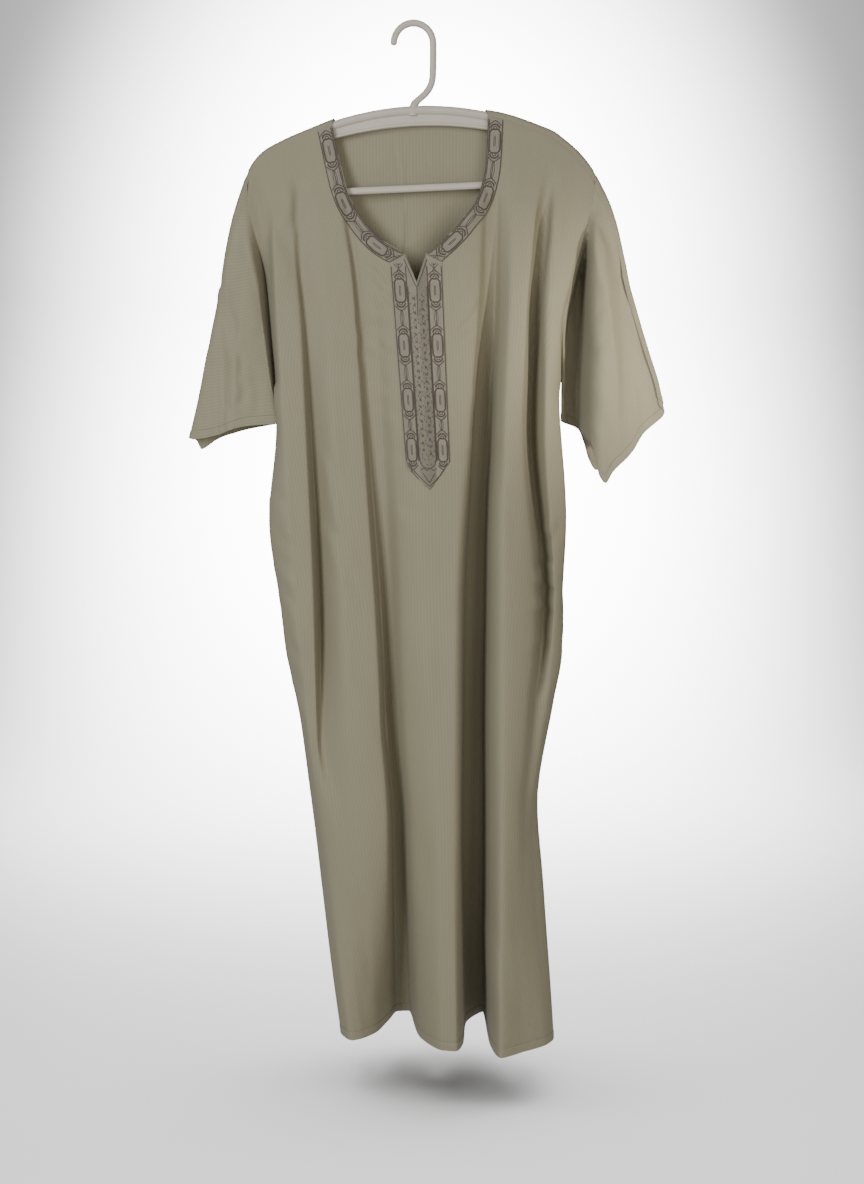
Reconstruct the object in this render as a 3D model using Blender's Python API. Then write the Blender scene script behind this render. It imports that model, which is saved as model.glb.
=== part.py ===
"""A short-sleeved thobe robe hanging on a moulded plastic hanger.

Frame: metres, +Z up, the robe's front faces -Y. The origin is the top of the inside of the hook,
where the hanger bears on a rail. All sizes below are in millimetres and are scaled once, at the end.
"""

import math

import bpy
import numpy as np
from mathutils import Vector
from mathutils.bvhtree import BVHTree

MM = 0.001

# Cloth
CLOTH = 1.6
SEAM_GAP = 0.5
RIDGE_RADIUS = 8.5
SHOULDER_SEAM_DROP = 8.0
SHOULDER_BLEND = 120.0
ARMPIT_Z = -455.0
HEM_Z = -1362.0
ROWS_ABOVE_ARMPIT = 8
ROWS_BELOW_ARMPIT = 13
COLUMNS_PER_FOLD = 2
SLEEVE_STEPS = 9
WRAP_ANGLES = (-86.6, -64.0, -43.0, -21.5, 0.0, 21.5, 43.0, 64.0)

# Pocket mouths left open in the side seams: top, bottom, width of the slit, and how far the front lip draws back,
# counted in fold lines
POCKETS = {"left": (-716.0, -940.0, 4.0, 0.3), "right": (-670.0, -866.0, 4.0, 0.8)}

# Trim laid on the front
BAND_WIDTH = 20.0
TRIM_THICK = 1.3
TRIM_LIFT = 0.42

# Hanger
HOOK_RADIUS = 25.5
HOOK_BAR = 4.5
ARM_CENTRE_X = -4.0
ARM_HALF_WIDTH = 184.0
ARM_TOP_Z = -99.0
ARM_ARCH = 0.001285
ARM_TILT = 0.0565
ARM_HEIGHT = 26.0
ARM_END_HEIGHT = 17.0
ARM_BEAD = 6.2
WEB_HALF = 2.2
FOOT_HALF = 3.6
RAIL_DROP = 100.0
RAIL_TILT = 0.045
RAIL_HALF_HEIGHT = 4.6
RAIL_HALF_DEPTH = 3.0

# The ridge that the cloth makes beyond each end of the hanger's arm, down to the sleeve's cuff
LEFT_RIDGE = ((-302, -529), (-292, -490), (-281, -441), (-269, -385), (-259, -342), (-249, -285),
              (-238, -239), (-227, -205), (-216, -180), (-204, -163))
RIGHT_RIDGE = ((197, -141), (214, -155), (231, -174), (246, -198), (259, -224), (269, -253), (279, -294),
               (289, -335), (302, -378), (317, -423), (328, -456), (334, -483))
ARMHOLE_TOP_X = {"left": -226.0, "right": 241.0}

# Heights at which the front's folds are measured
FRONT_LEVELS = (-167, -322, -510, -748, -930, -1050, -1362)
# name of the fold line, then its x and its depth y at the shoulder, chest, armpit, hip, thigh, knee and hem
FRONT_FOLDS = (
    ("left_ridge", (-183, -179, -170, -156, -142, -127, -88), (-12, -24, -32, -40, -35, -34, -32)),
    ("left_edge", (-168, -154, -144, -135, -132, -115, -76), (-13, -22, -31, -38, -37, -41, -28)),
    ("left_valley", (-152, -146, -137, -128, -125, -101, -66), (-12, -13, -10, -8, -28, -46, -20)),
    ("second_ridge", (-133, -115, -103, -92, -84, -72, -54), (-13, -22, -33, -45, -50, -51, -6)),
    ("second_edge", (-112, -82, -69, -53, -44, -37, -38), (-13, -21, -31, -42, -45, -44, 34)),
    ("second_valley", (-100, -74, -62, -46, -37, -29, -22), (-12, -11, -12, -4, 4, 12, 64)),
    ("centre_foot", (-82, -56, -44, -31, -21, -12, -3), (-12, -14, -16, -12, -4, 4, 66)),
    ("centre_left", (-58, -36, -26, -13, -6, 4, 14), (-13, -19, -30, -38, -34, -30, -18)),
    ("centre_ridge", (8, 10, 14, 20, 28, 33, 38), (-14, -26, -42, -52, -55, -56, -62)),
    ("centre_right", (60, 60, 60, 52, 51, 51, 56), (-14, -25, -40, -54, -57, -58, -65)),
    ("centre_edge", (87, 85, 74, 63, 62, 62, 67), (-13, -20, -35, -46, -48, -50, -40)),
    ("deep_left", (97, 94, 81, 70, 68, 68, 72), (-12, -7, 8, 14, 18, 20, 22)),
    ("deep_right", (108, 107, 101, 96, 95, 95, 98), (-12, 0, 16, 26, 32, 36, 60)),
    ("fourth_edge", (117, 115, 108, 103, 102, 102, 104), (-12, -14, -28, -36, -40, -42, -42)),
    ("fourth_ridge", (134, 130, 122, 120, 119, 118, 118), (-13, -27, -45, -58, -66, -70, -85)),
    ("fourth_fall", (164, 152, 142, 162, 146, 136, 151), (-13, -26, -37, -40, -53, -60, -66)),
    ("right_valley", (180, 165, 157, 177, 160, 149, 168), (-12, -2, 12, 4, -34, -46, -56)),
    ("right_ridge", (196, 178, 174, 189, 173, 160, 183), (-12, -22, -29, -20, -28, -34, -44)),
)

BACK_LEVELS = (-167, -455, -748, -1362)
# the same for the back, at the shoulder, armpit, hip and hem
BACK_FOLDS = (
    ("back_left_ridge", (-160, -160, -155, -80), (13, 46, 58, 92)),
    ("back_left_valley", (-120, -122, -122, -58), (13, 24, 26, 42)),
    ("back_second_ridge", (-60, -62, -66, -22), (13, 56, 74, 118)),
    ("back_second_valley", (0, 4, 12, 28), (13, 24, 28, 32)),
    ("back_third_ridge", (60, 66, 76, 84), (13, 58, 80, 126)),
    ("back_third_valley", (112, 122, 128, 136), (13, 22, 24, 26)),
    ("back_far_ridge", (160, 160, 156, 160), (13, 46, 52, 74)),
)

# Each row: height; left turn x, y; left seam x, y; right turn x, y; right seam x, y.
# The turn is the outermost point of the front just before the seam, which is the armhole above the armpit.
SIDES = (
    (-190, -206, -8, -228, -4, 228, -10, 241, -6),
    (-250, -192, -9, -212, 1, 216, -13, 228, -10),
    (-322, -189, -8, -197, 8, 199, -20, 209, -15),
    (-395, -186, -8, -191, 8, 190, -22, 196, -8),
    (-455, -183, -8, -188, 11, 190, -17, 197, 4),
    (-475, -183, -8, -183, 13, 191, -15, 195, 4),
    (-510, -183, -8, -181, 14, 195, -13, 195, 5),
    (-640, -195, -8, -190, 14, 205, -10, 203, 5),
    (-748, -183, -8, -177, 16, 201, -8, 198, 7),
    (-817, -176, -8, -170, 16, 202, -6, 199, 8),
    (-886, -161, -6, -155, 17, 191, -8, 188, 9),
    (-1020, -144, -5, -138, 18, 169, -14, 166, 8),
    (-1149, -131, -2, -125, 20, 179, -16, 176, 8),
    (-1362, -105, -4, -99, 24, 194, -22, 190, 6),
)
ARMHOLE_BACK_RISE = 14.0
BACK_TURN = 12.0

# Front neckline: height, left edge x, right edge x, from the shoulder seam to the top of the notch
NECKLINE = (
    (-146, -101.5, 95.4), (-177, -95, 93.5), (-202, -89, 88.5), (-225, -80, 79.5), (-240, -70, 67.5),
    (-257, -57, 54), (-270, -44, 41), (-281, -28, 28), (-290, -11, 16),
)
NECK_LEFT_X = -106.0
NECK_RIGHT_X = 96.5
NOTCH = (4.0, -326.0)
# Back neckline: distance in from each neck point, then the turn over the ridge in degrees or the drop behind it
BACK_NECK_TURN = ((0.7, -62.0), (1.5, -36.0), (2.3, -8.0), (3.2, 22.0), (4.2, 46.0), (5.2, 70.0))
BACK_NECK_DROP = ((6.6, 8.5), (11.0, 14.0), (22.0, 19.0), (45.0, 23.0), (72.0, 24.5))

# The placket: top x, z and foot x, z of its columns from left to right; the third to the fifth border the notch
PLACKET = (
    (-31, -301.5, -10, -567), (-21, -296.5, 0, -576), (-11.5, -291.5, 10, -585), (4, -327, 21, -596),
    (16.5, -291.5, 30.5, -583), (27, -296.5, 39, -571), (37, -301.5, 48, -558),
)
PLACKET_NOTCH = {"left": (-12.0, -290.4), "right": (17.0, -290.4)}
PLACKET_ROWS = 14
BAND_COLUMNS = 3

# Sleeves: (x, z) of the cuff's front and back edges from the ridge's tip to the underarm
CUFFS = {
    "left": {
        "front": ((-302, -529), (-294, -530), (-263, -525), (-244, -518), (-224, -513), (-201, -511), (-189, -509)),
        "back": ((-302, -529), (-294, -532), (-287, -544), (-263, -529), (-225, -517), (-189, -509)),
        "front_y": ((-302, 0), (-285, -12), (-255, -22), (-222, -17), (-200, -14), (-186, -8)),
        "back_y": ((-302, 0), (-285, 15), (-250, 30), (-215, 30), (-200, 28), (-186, 24)),
    },
    "right": {
        "front": ((334, -483), (326, -487), (307, -521), (290, -547), (262, -573), (252, -588), (244, -578),
                  (239, -556), (229, -526), (220, -513), (203, -504)),
        "back": ((334, -483), (326, -486), (308, -516), (285, -545), (262, -567), (250, -573), (240, -560),
                 (232, -535), (225, -518), (203, -504)),
        "front_y": ((190, -14), (203, -8), (213, 3), (224, 4), (231, -12), (238, -34), (248, -42), (268, -38), (300, -26),
                    (334, 0)),
        "back_y": ((190, 18), (212, 26), (230, 31), (270, 32), (300, 22), (334, 0)),
    },
}
SLEEVE_SETTLE = 22.0
UNDERARM_FOLD = 0.8


def bezier_free_slopes(knots, values):
    """Slopes at the knots that keep a cubic from overshooting its values."""
    step = np.diff(knots)
    secant = np.diff(values, axis=-1) / step
    left, right = secant[..., :-1], secant[..., 1:]
    weight_left, weight_right = 2 * step[1:] + step[:-1], step[1:] + 2 * step[:-1]
    same = left * right > 0
    safe_left, safe_right = np.where(same, left, 1.0), np.where(same, right, 1.0)
    inner = (weight_left + weight_right) / (weight_left / safe_left + weight_right / safe_right)
    inner = np.where(same, inner, 0.0)
    return np.concatenate([secant[..., :1], inner, secant[..., -1:]], axis=-1)


def smooth_curve(knots, values, at):
    """A smooth curve through the values, read at one place or many. It never swings past a value."""
    knots, values = np.asarray(knots, float), np.asarray(values, float)
    if knots[0] > knots[-1]:
        knots, values = knots[::-1], values[..., ::-1]
    slopes = bezier_free_slopes(knots, values)
    at = np.clip(at, knots[0], knots[-1])
    span = np.clip(np.searchsorted(knots, at, side="right") - 1, 0, len(knots) - 2)
    width = knots[span + 1] - knots[span]
    share = (at - knots[span]) / width
    start, end = values[..., span], values[..., span + 1]
    leave, arrive = slopes[..., span] * width, slopes[..., span + 1] * width
    return (start * (1 + 2 * share) * (1 - share) ** 2 + leave * share * (1 - share) ** 2
            + end * share ** 2 * (3 - 2 * share) - arrive * share ** 2 * (1 - share))


def ease(share):
    """0 to 1 with a soft start and end."""
    share = np.clip(share, 0.0, 1.0)
    return share * share * (3 - 2 * share)


def arm_top(x):
    """Height of the top edge of the hanger's arched, slightly tilted arm."""
    along = x - ARM_CENTRE_X
    return ARM_TOP_Z - ARM_ARCH * along ** 2 + ARM_TILT * along


RIDGE_OVER_ARM = np.linspace(-190.0, 182.0, 25)
RIDGE_X = np.concatenate([[p[0] for p in LEFT_RIDGE], RIDGE_OVER_ARM, [p[0] for p in RIGHT_RIDGE]])
RIDGE_Z = np.concatenate([[p[1] for p in LEFT_RIDGE], arm_top(RIDGE_OVER_ARM) + RIDGE_RADIUS - ARM_BEAD,
                          [p[1] for p in RIGHT_RIDGE]])


def ridge(x):
    """Height of the highest line of the cloth, over the shoulders and down the sleeves."""
    return smooth_curve(RIDGE_X, RIDGE_Z, x)


def below_ridge(x, z):
    """Distance of a point from the ridge, measured square to it."""
    slope = (ridge(x + 1.0) - ridge(x - 1.0)) / 2.0
    return (ridge(x) - z) / np.sqrt(1 + slope ** 2)


def rounded(distance):
    """Half depth of the cloth where it turns over the ridge."""
    rise = np.clip(RIDGE_RADIUS - distance, 0.0, RIDGE_RADIUS)
    return np.sqrt(RIDGE_RADIUS ** 2 - rise ** 2)


def side_values(z):
    """Every column of SIDES at a height."""
    table = np.array(SIDES, float).T
    return smooth_curve(table[0], table[1:], z)


def pocket(side, z):
    """How far the front's side edge and the back's are drawn back from the seam at a pocket mouth."""
    top, bottom, slit, lip = POCKETS[side]
    middle, half = (top + bottom) / 2, (top - bottom) / 2
    open_share = np.clip(1 - ((z - middle) / half) ** 2, 0.0, 1.0)
    return slit / 2 * np.minimum(1.0, 3 * open_share), lip * open_share ** 3


def front_place(place, z):
    """A place across the front, drawn back near the side edges where a pocket's lip gapes."""
    last = len(FRONT_FOLDS) + 3
    if place > last - 2:
        return last - 2 + (place - last + 2) * (1 - pocket("right", z)[1] / 2)
    if place < 2:
        return 2 - (2 - place) * (1 - pocket("left", z)[1] / 2)
    return place + 0.0 * z


def front_nodes(z):
    """x and y of every fold line of the front at each height, from the left seam to the right one."""
    left_tx, left_ty, left_sx, left_sy, right_tx, right_ty, right_sx, right_sy = side_values(z)
    x = smooth_curve(FRONT_LEVELS, [row[1] for row in FRONT_FOLDS], z)
    y = smooth_curve(FRONT_LEVELS, [row[2] for row in FRONT_FOLDS], z)
    return np.vstack([left_sx, left_tx, x, right_tx, right_sx]), np.vstack([left_sy, left_ty, y, right_ty, right_sy])


def back_nodes(z):
    """The same for the back, also from left to right."""
    left_tx, _, left_sx, left_sy, right_tx, _, right_sx, right_sy = side_values(z)
    rise = ease((z - ARMPIT_Z) / 75.0)
    left_y, right_y = left_sy + ARMHOLE_BACK_RISE * rise, right_sy + (ARMHOLE_BACK_RISE + 8) * rise
    x = smooth_curve(BACK_LEVELS, [row[1] for row in BACK_FOLDS], z)
    y = smooth_curve(BACK_LEVELS, [row[2] for row in BACK_FOLDS], z)
    left_bx, right_bx = np.minimum(left_tx, left_sx) + 3, np.maximum(right_tx, right_sx) - 3
    return (np.vstack([left_sx, left_bx, x, right_bx, right_sx]),
            np.vstack([left_y, left_y + BACK_TURN, y, right_y + BACK_TURN, right_y]))


def section_point(nodes, place, z):
    """x and y of a panel at one place across it, counted in fold lines, for an array of heights."""
    x, y = nodes(z)
    count = np.arange(len(x))
    places = front_place(place, z) if nodes is front_nodes else np.full(len(z), place)
    across = [smooth_curve(count, np.stack([x[:, n], y[:, n]]), places[n]) for n in range(len(z))]
    return np.array(across).T


def panel_point(nodes, side, place, z):
    """x, y and z on a panel. side is -1 for the front and 1 for the back; near the ridge the cloth turns over it."""
    z = np.atleast_1d(np.asarray(z, float))
    x, y = section_point(nodes, place, z)
    distance = below_ridge(x, z)
    settled = ease((distance - RIDGE_RADIUS) / SHOULDER_BLEND)
    turned = side * rounded(distance) + settled * (y - side * RIDGE_RADIUS)
    return np.stack([x, turned, z], axis=-1)


def place_of(nodes, x, z):
    """The place across a panel at which a height has this x."""
    low, high = 0.0, float(len(nodes(np.array([z]))[0]) - 1)
    for _ in range(40):
        middle = (low + high) / 2
        if section_point(nodes, middle, np.array([z]))[0][0] < x:
            low = middle
        else:
            high = middle
    return (low + high) / 2


def shoulder_seam(x):
    """Height of the seam, just in front of the ridge."""
    slope = (ridge(x + 1.0) - ridge(x - 1.0)) / 2.0
    return ridge(x) - SHOULDER_SEAM_DROP * np.sqrt(1 + slope ** 2)


def front_edge():
    """The neckline as a run of (x, z), left to right, from seam to seam."""
    left = [(row[1], row[0]) for row in NECKLINE]
    right = [(row[2], row[0]) for row in reversed(NECKLINE)]
    start = (NECK_LEFT_X, float(shoulder_seam(NECK_LEFT_X)))
    end = (NECK_RIGHT_X, float(shoulder_seam(NECK_RIGHT_X)))
    return [start, *left, NOTCH, *right, end]


def shoulder_places(side):
    """Places across the front for the columns that start on one shoulder seam, from the armhole inwards."""
    count = len(FRONT_FOLDS) + 4
    edge_x = NECK_LEFT_X if side == "left" else NECK_RIGHT_X
    neck = place_of(front_nodes, edge_x, float(shoulder_seam(edge_x)))
    if side == "left":
        spans = math.floor(neck)
        found = [n / COLUMNS_PER_FOLD for n in range(spans * COLUMNS_PER_FOLD + 1)]
        return [p for p in found if p < neck - 0.2]
    first = math.ceil(neck)
    found = [first + n / COLUMNS_PER_FOLD for n in range((count - 1 - first) * COLUMNS_PER_FOLD + 1)]
    return [p for p in found if p > neck + 0.2]


def column_top(nodes, place):
    """Height at which a column of the front meets the shoulder seam."""
    heights = np.linspace(-100.0, -330.0, 461)
    x = section_point(nodes, place, heights)[0]
    under = np.nonzero(heights <= shoulder_seam(x))[0]
    return heights[under[0]]


def rows_from(top):
    """Heights of a column's points: close together at the shoulder, one on the armpit's line, down to the hem."""
    above = (np.arange(ROWS_ABOVE_ARMPIT + 1) / ROWS_ABOVE_ARMPIT) ** 1.15
    below = np.arange(1, ROWS_BELOW_ARMPIT + 1) / ROWS_BELOW_ARMPIT
    return np.concatenate([top + (ARMPIT_Z - top) * above, ARMPIT_Z + (HEM_Z - ARMPIT_Z) * below])


def front_grid():
    """Outer points of the front panel, one column after another from left to right."""
    columns = []
    for place in shoulder_places("left"):
        top = float(shoulder_seam(ARMHOLE_TOP_X["left"])) if place == 0 else column_top(front_nodes, place)
        columns.append(panel_point(front_nodes, -1, place, rows_from(top)))
    for x, z in front_edge():
        columns.append(panel_point(front_nodes, -1, place_of(front_nodes, x, z), rows_from(z)))
    last = len(FRONT_FOLDS) + 3
    for place in shoulder_places("right"):
        top = float(shoulder_seam(ARMHOLE_TOP_X["right"])) if place == last else column_top(front_nodes, place)
        columns.append(panel_point(front_nodes, -1, place, rows_from(top)))
    return np.array(columns)


def tilt(x):
    """Slope of the ridge, and the length of it per unit of x."""
    slope = float(ridge(x + 1.0) - ridge(x - 1.0)) / 2.0
    return slope, math.sqrt(1 + slope ** 2)


def over_ridge(x, degrees):
    """Point and outward direction where the cloth has turned this far over the ridge; 0 is the top."""
    slope, stretch = tilt(x)
    turn = math.radians(degrees)
    point = (x, RIDGE_RADIUS * math.sin(turn), float(ridge(x)) - RIDGE_RADIUS * (1 - math.cos(turn)) * stretch)
    outward = (-slope / stretch * math.cos(turn), math.sin(turn), math.cos(turn) / stretch)
    return point, outward


def back_column(x, degrees, drop, edge_place=None):
    """One column of the back with its outward directions: over the ridge from an angle, or down from a drop."""
    _, stretch = tilt(x)
    top = float(ridge(x))
    if drop is None:
        seam_z = top - SHOULDER_SEAM_DROP * stretch
        place = place_of(back_nodes, x, seam_z) if edge_place is None else edge_place
        angles = WRAP_ANGLES if degrees < -80 else np.linspace(degrees, max(64.0, degrees + 12.0), len(WRAP_ANGLES))
        turned = [over_ridge(x, angle) for angle in angles]
        start, outward = [t[0] for t in turned], [t[1] for t in turned]
        body = panel_point(back_nodes, 1, place, rows_from(seam_z))
        body[0] = (x, RIDGE_RADIUS, seam_z)
        return np.vstack([start, body]), np.array(outward)
    top -= drop * stretch
    place = place_of(back_nodes, x, top)
    heights = top - 1.6 * np.arange(len(WRAP_ANGLES))
    start = panel_point(back_nodes, 1, place, heights)
    body = panel_point(back_nodes, 1, place, rows_from(heights[-1] - 1.6))
    return np.vstack([start, body]), None


def back_grid(front):
    """Outer points of the back panel. It turns over the ridge and meets the front at the shoulder seam."""
    left = [column[0] for column in front[: len(shoulder_places("left")) + 1]]
    right = [column[0] for column in front[-len(shoulder_places("right")) - 1:]]
    last = float(len(BACK_FOLDS) + 3)
    columns = []
    for number, point in enumerate(left):
        columns.append(back_column(point[0], WRAP_ANGLES[0], None, 0.0 if number == 0 else None))
    start, end = left[-1][0], right[0][0]
    steps = [(distance, degrees, None) for distance, degrees in BACK_NECK_TURN]
    steps += [(distance, None, drop) for distance, drop in BACK_NECK_DROP]
    for distance, degrees, drop in steps:
        columns.append(back_column(start + distance, degrees, drop))
    columns.append(back_column((start + end) / 2, None, BACK_NECK_DROP[-1][1]))
    for distance, degrees, drop in reversed(steps):
        columns.append(back_column(end - distance, degrees, drop))
    for number, point in enumerate(right):
        columns.append(back_column(point[0], WRAP_ANGLES[0], None, last if number == len(right) - 1 else None))
    grid = np.array([column[0] for column in columns])
    normal = normals_of(grid)
    for number, (_, outward) in enumerate(columns):
        if outward is not None:
            normal[number, : len(WRAP_ANGLES)] = outward
            normal[number, len(WRAP_ANGLES)] = (0.0, 1.0, 0.0)
    return grid, normal


def normals_of(grid, closed=False):
    """Unit normals of a grid of points indexed [column, row]."""
    if closed:
        across = np.roll(grid, -1, axis=0) - np.roll(grid, 1, axis=0)
    else:
        across = np.gradient(grid, axis=0)
    along = np.gradient(grid, axis=1)
    normal = np.cross(across, along)
    return normal / np.maximum(np.linalg.norm(normal, axis=-1, keepdims=True), 1e-9)


def unit(vectors):
    """Vectors at length one."""
    return vectors / np.maximum(np.linalg.norm(vectors, axis=-1, keepdims=True), 1e-9)


def draw_back(grid, edge, beside, amount):
    """Moves an edge's points towards the points beside it."""
    grid[edge] += unit(grid[beside] - grid[edge]) * np.asarray(amount, float)[..., None]


def join_panels(front, front_normal, back, back_normal):
    """Opens a hairline at the shoulder and side seams, with both rims square to the same direction."""
    wrap, rows = len(WRAP_ANGLES), front.shape[1]
    lefts, rights = len(shoulder_places("left")) + 1, len(shoulder_places("right")) + 1
    below = slice(ROWS_ABOVE_ARMPIT, rows)
    below_back = slice(ROWS_ABOVE_ARMPIT + wrap, rows + wrap)
    for edge, beside, side in ((0, 1, "left"), (-1, -2, "right")):
        shared = unit(front_normal[edge, below] + back_normal[edge, below_back])
        front_normal[edge, below] = shared
        back_normal[edge, below_back] = shared
        slit = pocket(side, front[edge, below, 2])[0]
        draw_back(front, (edge, below), (beside, below), SEAM_GAP / 2 + slit)
        draw_back(back, (edge, below_back), (beside, below_back), SEAM_GAP / 2 + slit)
    for group in (slice(0, lefts), slice(-rights, None)):
        front_normal[group, 0] = back_normal[group, 0]
        draw_back(front, (group, 0), (group, 1), np.full(front[group, 0].shape[0], SEAM_GAP / 2))
        draw_back(back, (group, 0), (group, 1), np.full(back[group, 0].shape[0], SEAM_GAP / 2))


def wall_faces(columns, rows, closed=False):
    """Faces of a wall whose outer points come first and whose inner points follow in the same order."""
    offset = columns * rows

    def corner(column, row, inside):
        return (column % columns) * rows + row + (offset if inside else 0)

    faces = []
    for column in range(columns if closed else columns - 1):
        for row in range(rows - 1):
            around = ((column, row), (column, row + 1), (column + 1, row + 1), (column + 1, row))
            faces.append([corner(c, r, False) for c, r in around])
            faces.append([corner(c, r, True) for c, r in reversed(around)])
        for row in (0, rows - 1):
            faces.append([corner(column, row, False), corner(column + 1, row, False),
                          corner(column + 1, row, True), corner(column, row, True)])
    if not closed:
        for column in (0, columns - 1):
            for row in range(rows - 1):
                faces.append([corner(column, row, False), corner(column, row + 1, False),
                              corner(column, row + 1, True), corner(column, row, True)])
    return faces


def wall_object(name, outer, normal, thick, closed=False):
    """A closed wall between the outer grid and the same grid moved in by its thickness."""
    inner = outer - normal * thick
    points = np.concatenate([outer.reshape(-1, 3), inner.reshape(-1, 3)])
    return mesh_object(name, points, wall_faces(*outer.shape[:2], closed))


def mesh_object(name, points, faces):
    """A mesh object in the scene whose faces point outwards. Points are in millimetres."""
    mesh = bpy.data.meshes.new(name)
    mesh.from_pydata([(x * MM, y * MM, z * MM) for x, y, z in points], [], faces)
    mesh.validate()
    obj = bpy.data.objects.new(name, mesh)
    bpy.context.scene.collection.objects.link(obj)
    bpy.ops.object.select_all(action="DESELECT")
    bpy.context.view_layer.objects.active = obj
    obj.select_set(True)
    bpy.ops.object.mode_set(mode="EDIT")
    bpy.ops.mesh.select_all(action="SELECT")
    bpy.ops.mesh.normals_make_consistent(inside=False)
    bpy.ops.object.mode_set(mode="OBJECT")
    mesh.shade_smooth()
    mesh.set_sharp_from_angle(angle=math.radians(50))
    return obj


def armhole(front, back, front_normal, back_normal, edge):
    """The armhole as a ring, from the shoulder seam down the front to the armpit and up the back."""
    rows, wrap = ROWS_ABOVE_ARMPIT + 1, len(WRAP_ANGLES)
    behind = slice(rows + wrap - 2, 0, -1)
    ring = np.concatenate([front[edge, :rows], back[edge, behind]])
    normal = np.concatenate([front_normal[edge, :rows], back_normal[edge, behind]])
    return ring, normal


def along_run(points, share):
    """Point at a share of the way along a run of points."""
    points = np.asarray(points, float)
    places = np.concatenate([[0.0], np.cumsum(np.linalg.norm(np.diff(points, axis=0), axis=1))])
    return np.array([np.interp(share * places[-1], places, points[:, k]) for k in range(points.shape[1])])


def run_length(points):
    """Length of a run of points."""
    return float(np.sum(np.linalg.norm(np.diff(np.asarray(points, float), axis=0), axis=1)))


def hanging_depth(knots, x):
    """Depth of a sleeve's layer at an x, from its table."""
    knots = sorted(knots)
    return float(smooth_curve([k[0] for k in knots], [k[1] for k in knots], x))


def sleeve_ridge(side):
    """The sleeve's ridge from the armhole to the cuff's tip: arc lengths, points and directions square to it."""
    tip_x = CUFFS[side]["front"][0][0]
    x = np.linspace(ARMHOLE_TOP_X[side], tip_x, 80)
    points = np.stack([x, ridge(x)], axis=-1)
    along = unit(np.gradient(points, axis=0))
    under = np.stack([along[:, 1], -along[:, 0]], axis=-1)
    if side == "left":
        under = -under
    return np.concatenate([[0.0], np.cumsum(np.linalg.norm(np.diff(points, axis=0), axis=1))]), points, under


def ridge_column(start, degrees, side):
    """A sleeve's column that follows the ridge, turned this far over it."""
    places, points, under = sleeve_ridge(side)
    slope, _ = tilt(ARMHOLE_TOP_X[side])
    inset = RIDGE_RADIUS * (1 - math.cos(math.radians(degrees)))
    first = inset * abs(slope)
    depth = RIDGE_RADIUS * math.sin(math.radians(degrees))
    column = [tuple(start)]
    for step in range(1, SLEEVE_STEPS + 1):
        at = first + (places[-1] - first) * step / SLEEVE_STEPS
        x, z = (np.interp(at, places, points[:, k]) + inset * np.interp(at, places, under[:, k]) for k in (0, 1))
        column.append((x, depth, z))
    return column


def hanging_column(start, share, side, in_front):
    """A sleeve's column from the armhole to the cuff, below the ridge's turn."""
    cuff = CUFFS[side]
    edge, sign = (cuff["front"], -1) if in_front else (cuff["back"], 1)
    lean, other = (cuff["front_y"], cuff["back_y"]) if in_front else (cuff["back_y"], cuff["front_y"])
    closing = max(0.0, share - UNDERARM_FOLD) / (1 - UNDERARM_FOLD)
    apart = 0.5 + 0.5 * math.sqrt(max(0.0, 1 - closing ** 2))
    near = RIDGE_RADIUS / run_length(edge)
    end = along_run(edge, near + (1 - near) * share)
    tip, top = np.array(edge[0], float), np.array([ARMHOLE_TOP_X[side], float(ridge(ARMHOLE_TOP_X[side]))])
    run = sorted((z, x) for x, z in ridge_run(side))
    column = []
    for step in range(SLEEVE_STEPS + 1):
        along = step / SLEEVE_STEPS
        straight = top + (tip - top) * along
        bow = np.interp(straight[1], *zip(*run)) - straight[0]
        x, z = start[[0, 2]] + (end - start[[0, 2]]) * along
        x += bow * (1 - share) ** 2
        distance = max(RIDGE_RADIUS, float(below_ridge(x, z)))
        settled = float(ease((distance - RIDGE_RADIUS) / 60.0))
        layer = hanging_depth(lean, x) * apart + hanging_depth(other, x) * (1 - apart)
        depth = sign * RIDGE_RADIUS * (1 - settled) + settled * layer
        own = float(ease(math.hypot(x - start[0], z - start[2]) / SLEEVE_SETTLE))
        column.append((x, start[1] * (1 - own) + depth * own, z))
    return column


def sleeve_grid(ring, side):
    """Outer points of a sleeve: a tube from the armhole to the cuff, flattened as it hangs."""
    rows, wrap = ROWS_ABOVE_ARMPIT + 1, len(WRAP_ANGLES)
    seam_z, armpit_z = ring[0, 2], ring[rows - 1, 2]
    columns = []
    for number, start in enumerate(ring):
        behind = len(ring) - number
        if number == 0:
            columns.append(ridge_column(start, WRAP_ANGLES[0], side))
        elif behind < wrap:
            columns.append(ridge_column(start, WRAP_ANGLES[behind], side))
        elif behind == wrap:
            columns.append(ridge_column(start, 90.0, side))
        else:
            share = (start[2] - seam_z) / (armpit_z - seam_z)
            columns.append(hanging_column(start, share, side, number < rows))
    grid = np.array(columns)
    around = unit(np.roll(grid[:, 0], -1, axis=0) - np.roll(grid[:, 0], 1, axis=0))
    outward = grid[:, 1] - grid[:, 0]
    outward -= around * np.sum(outward * around, axis=-1, keepdims=True)
    grid[:, 0] += unit(outward) * SEAM_GAP
    return grid


def ridge_run(side):
    """The measured ridge of one sleeve."""
    return LEFT_RIDGE if side == "left" else RIGHT_RIDGE


def share_normals(body_normal, sleeve_normal):
    """One direction for two rims that meet, unless they turn away from each other."""
    meeting = np.sum(body_normal * sleeve_normal, axis=-1) > 0.0
    shared = unit(body_normal + sleeve_normal)
    return meeting[:, None], shared


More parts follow.
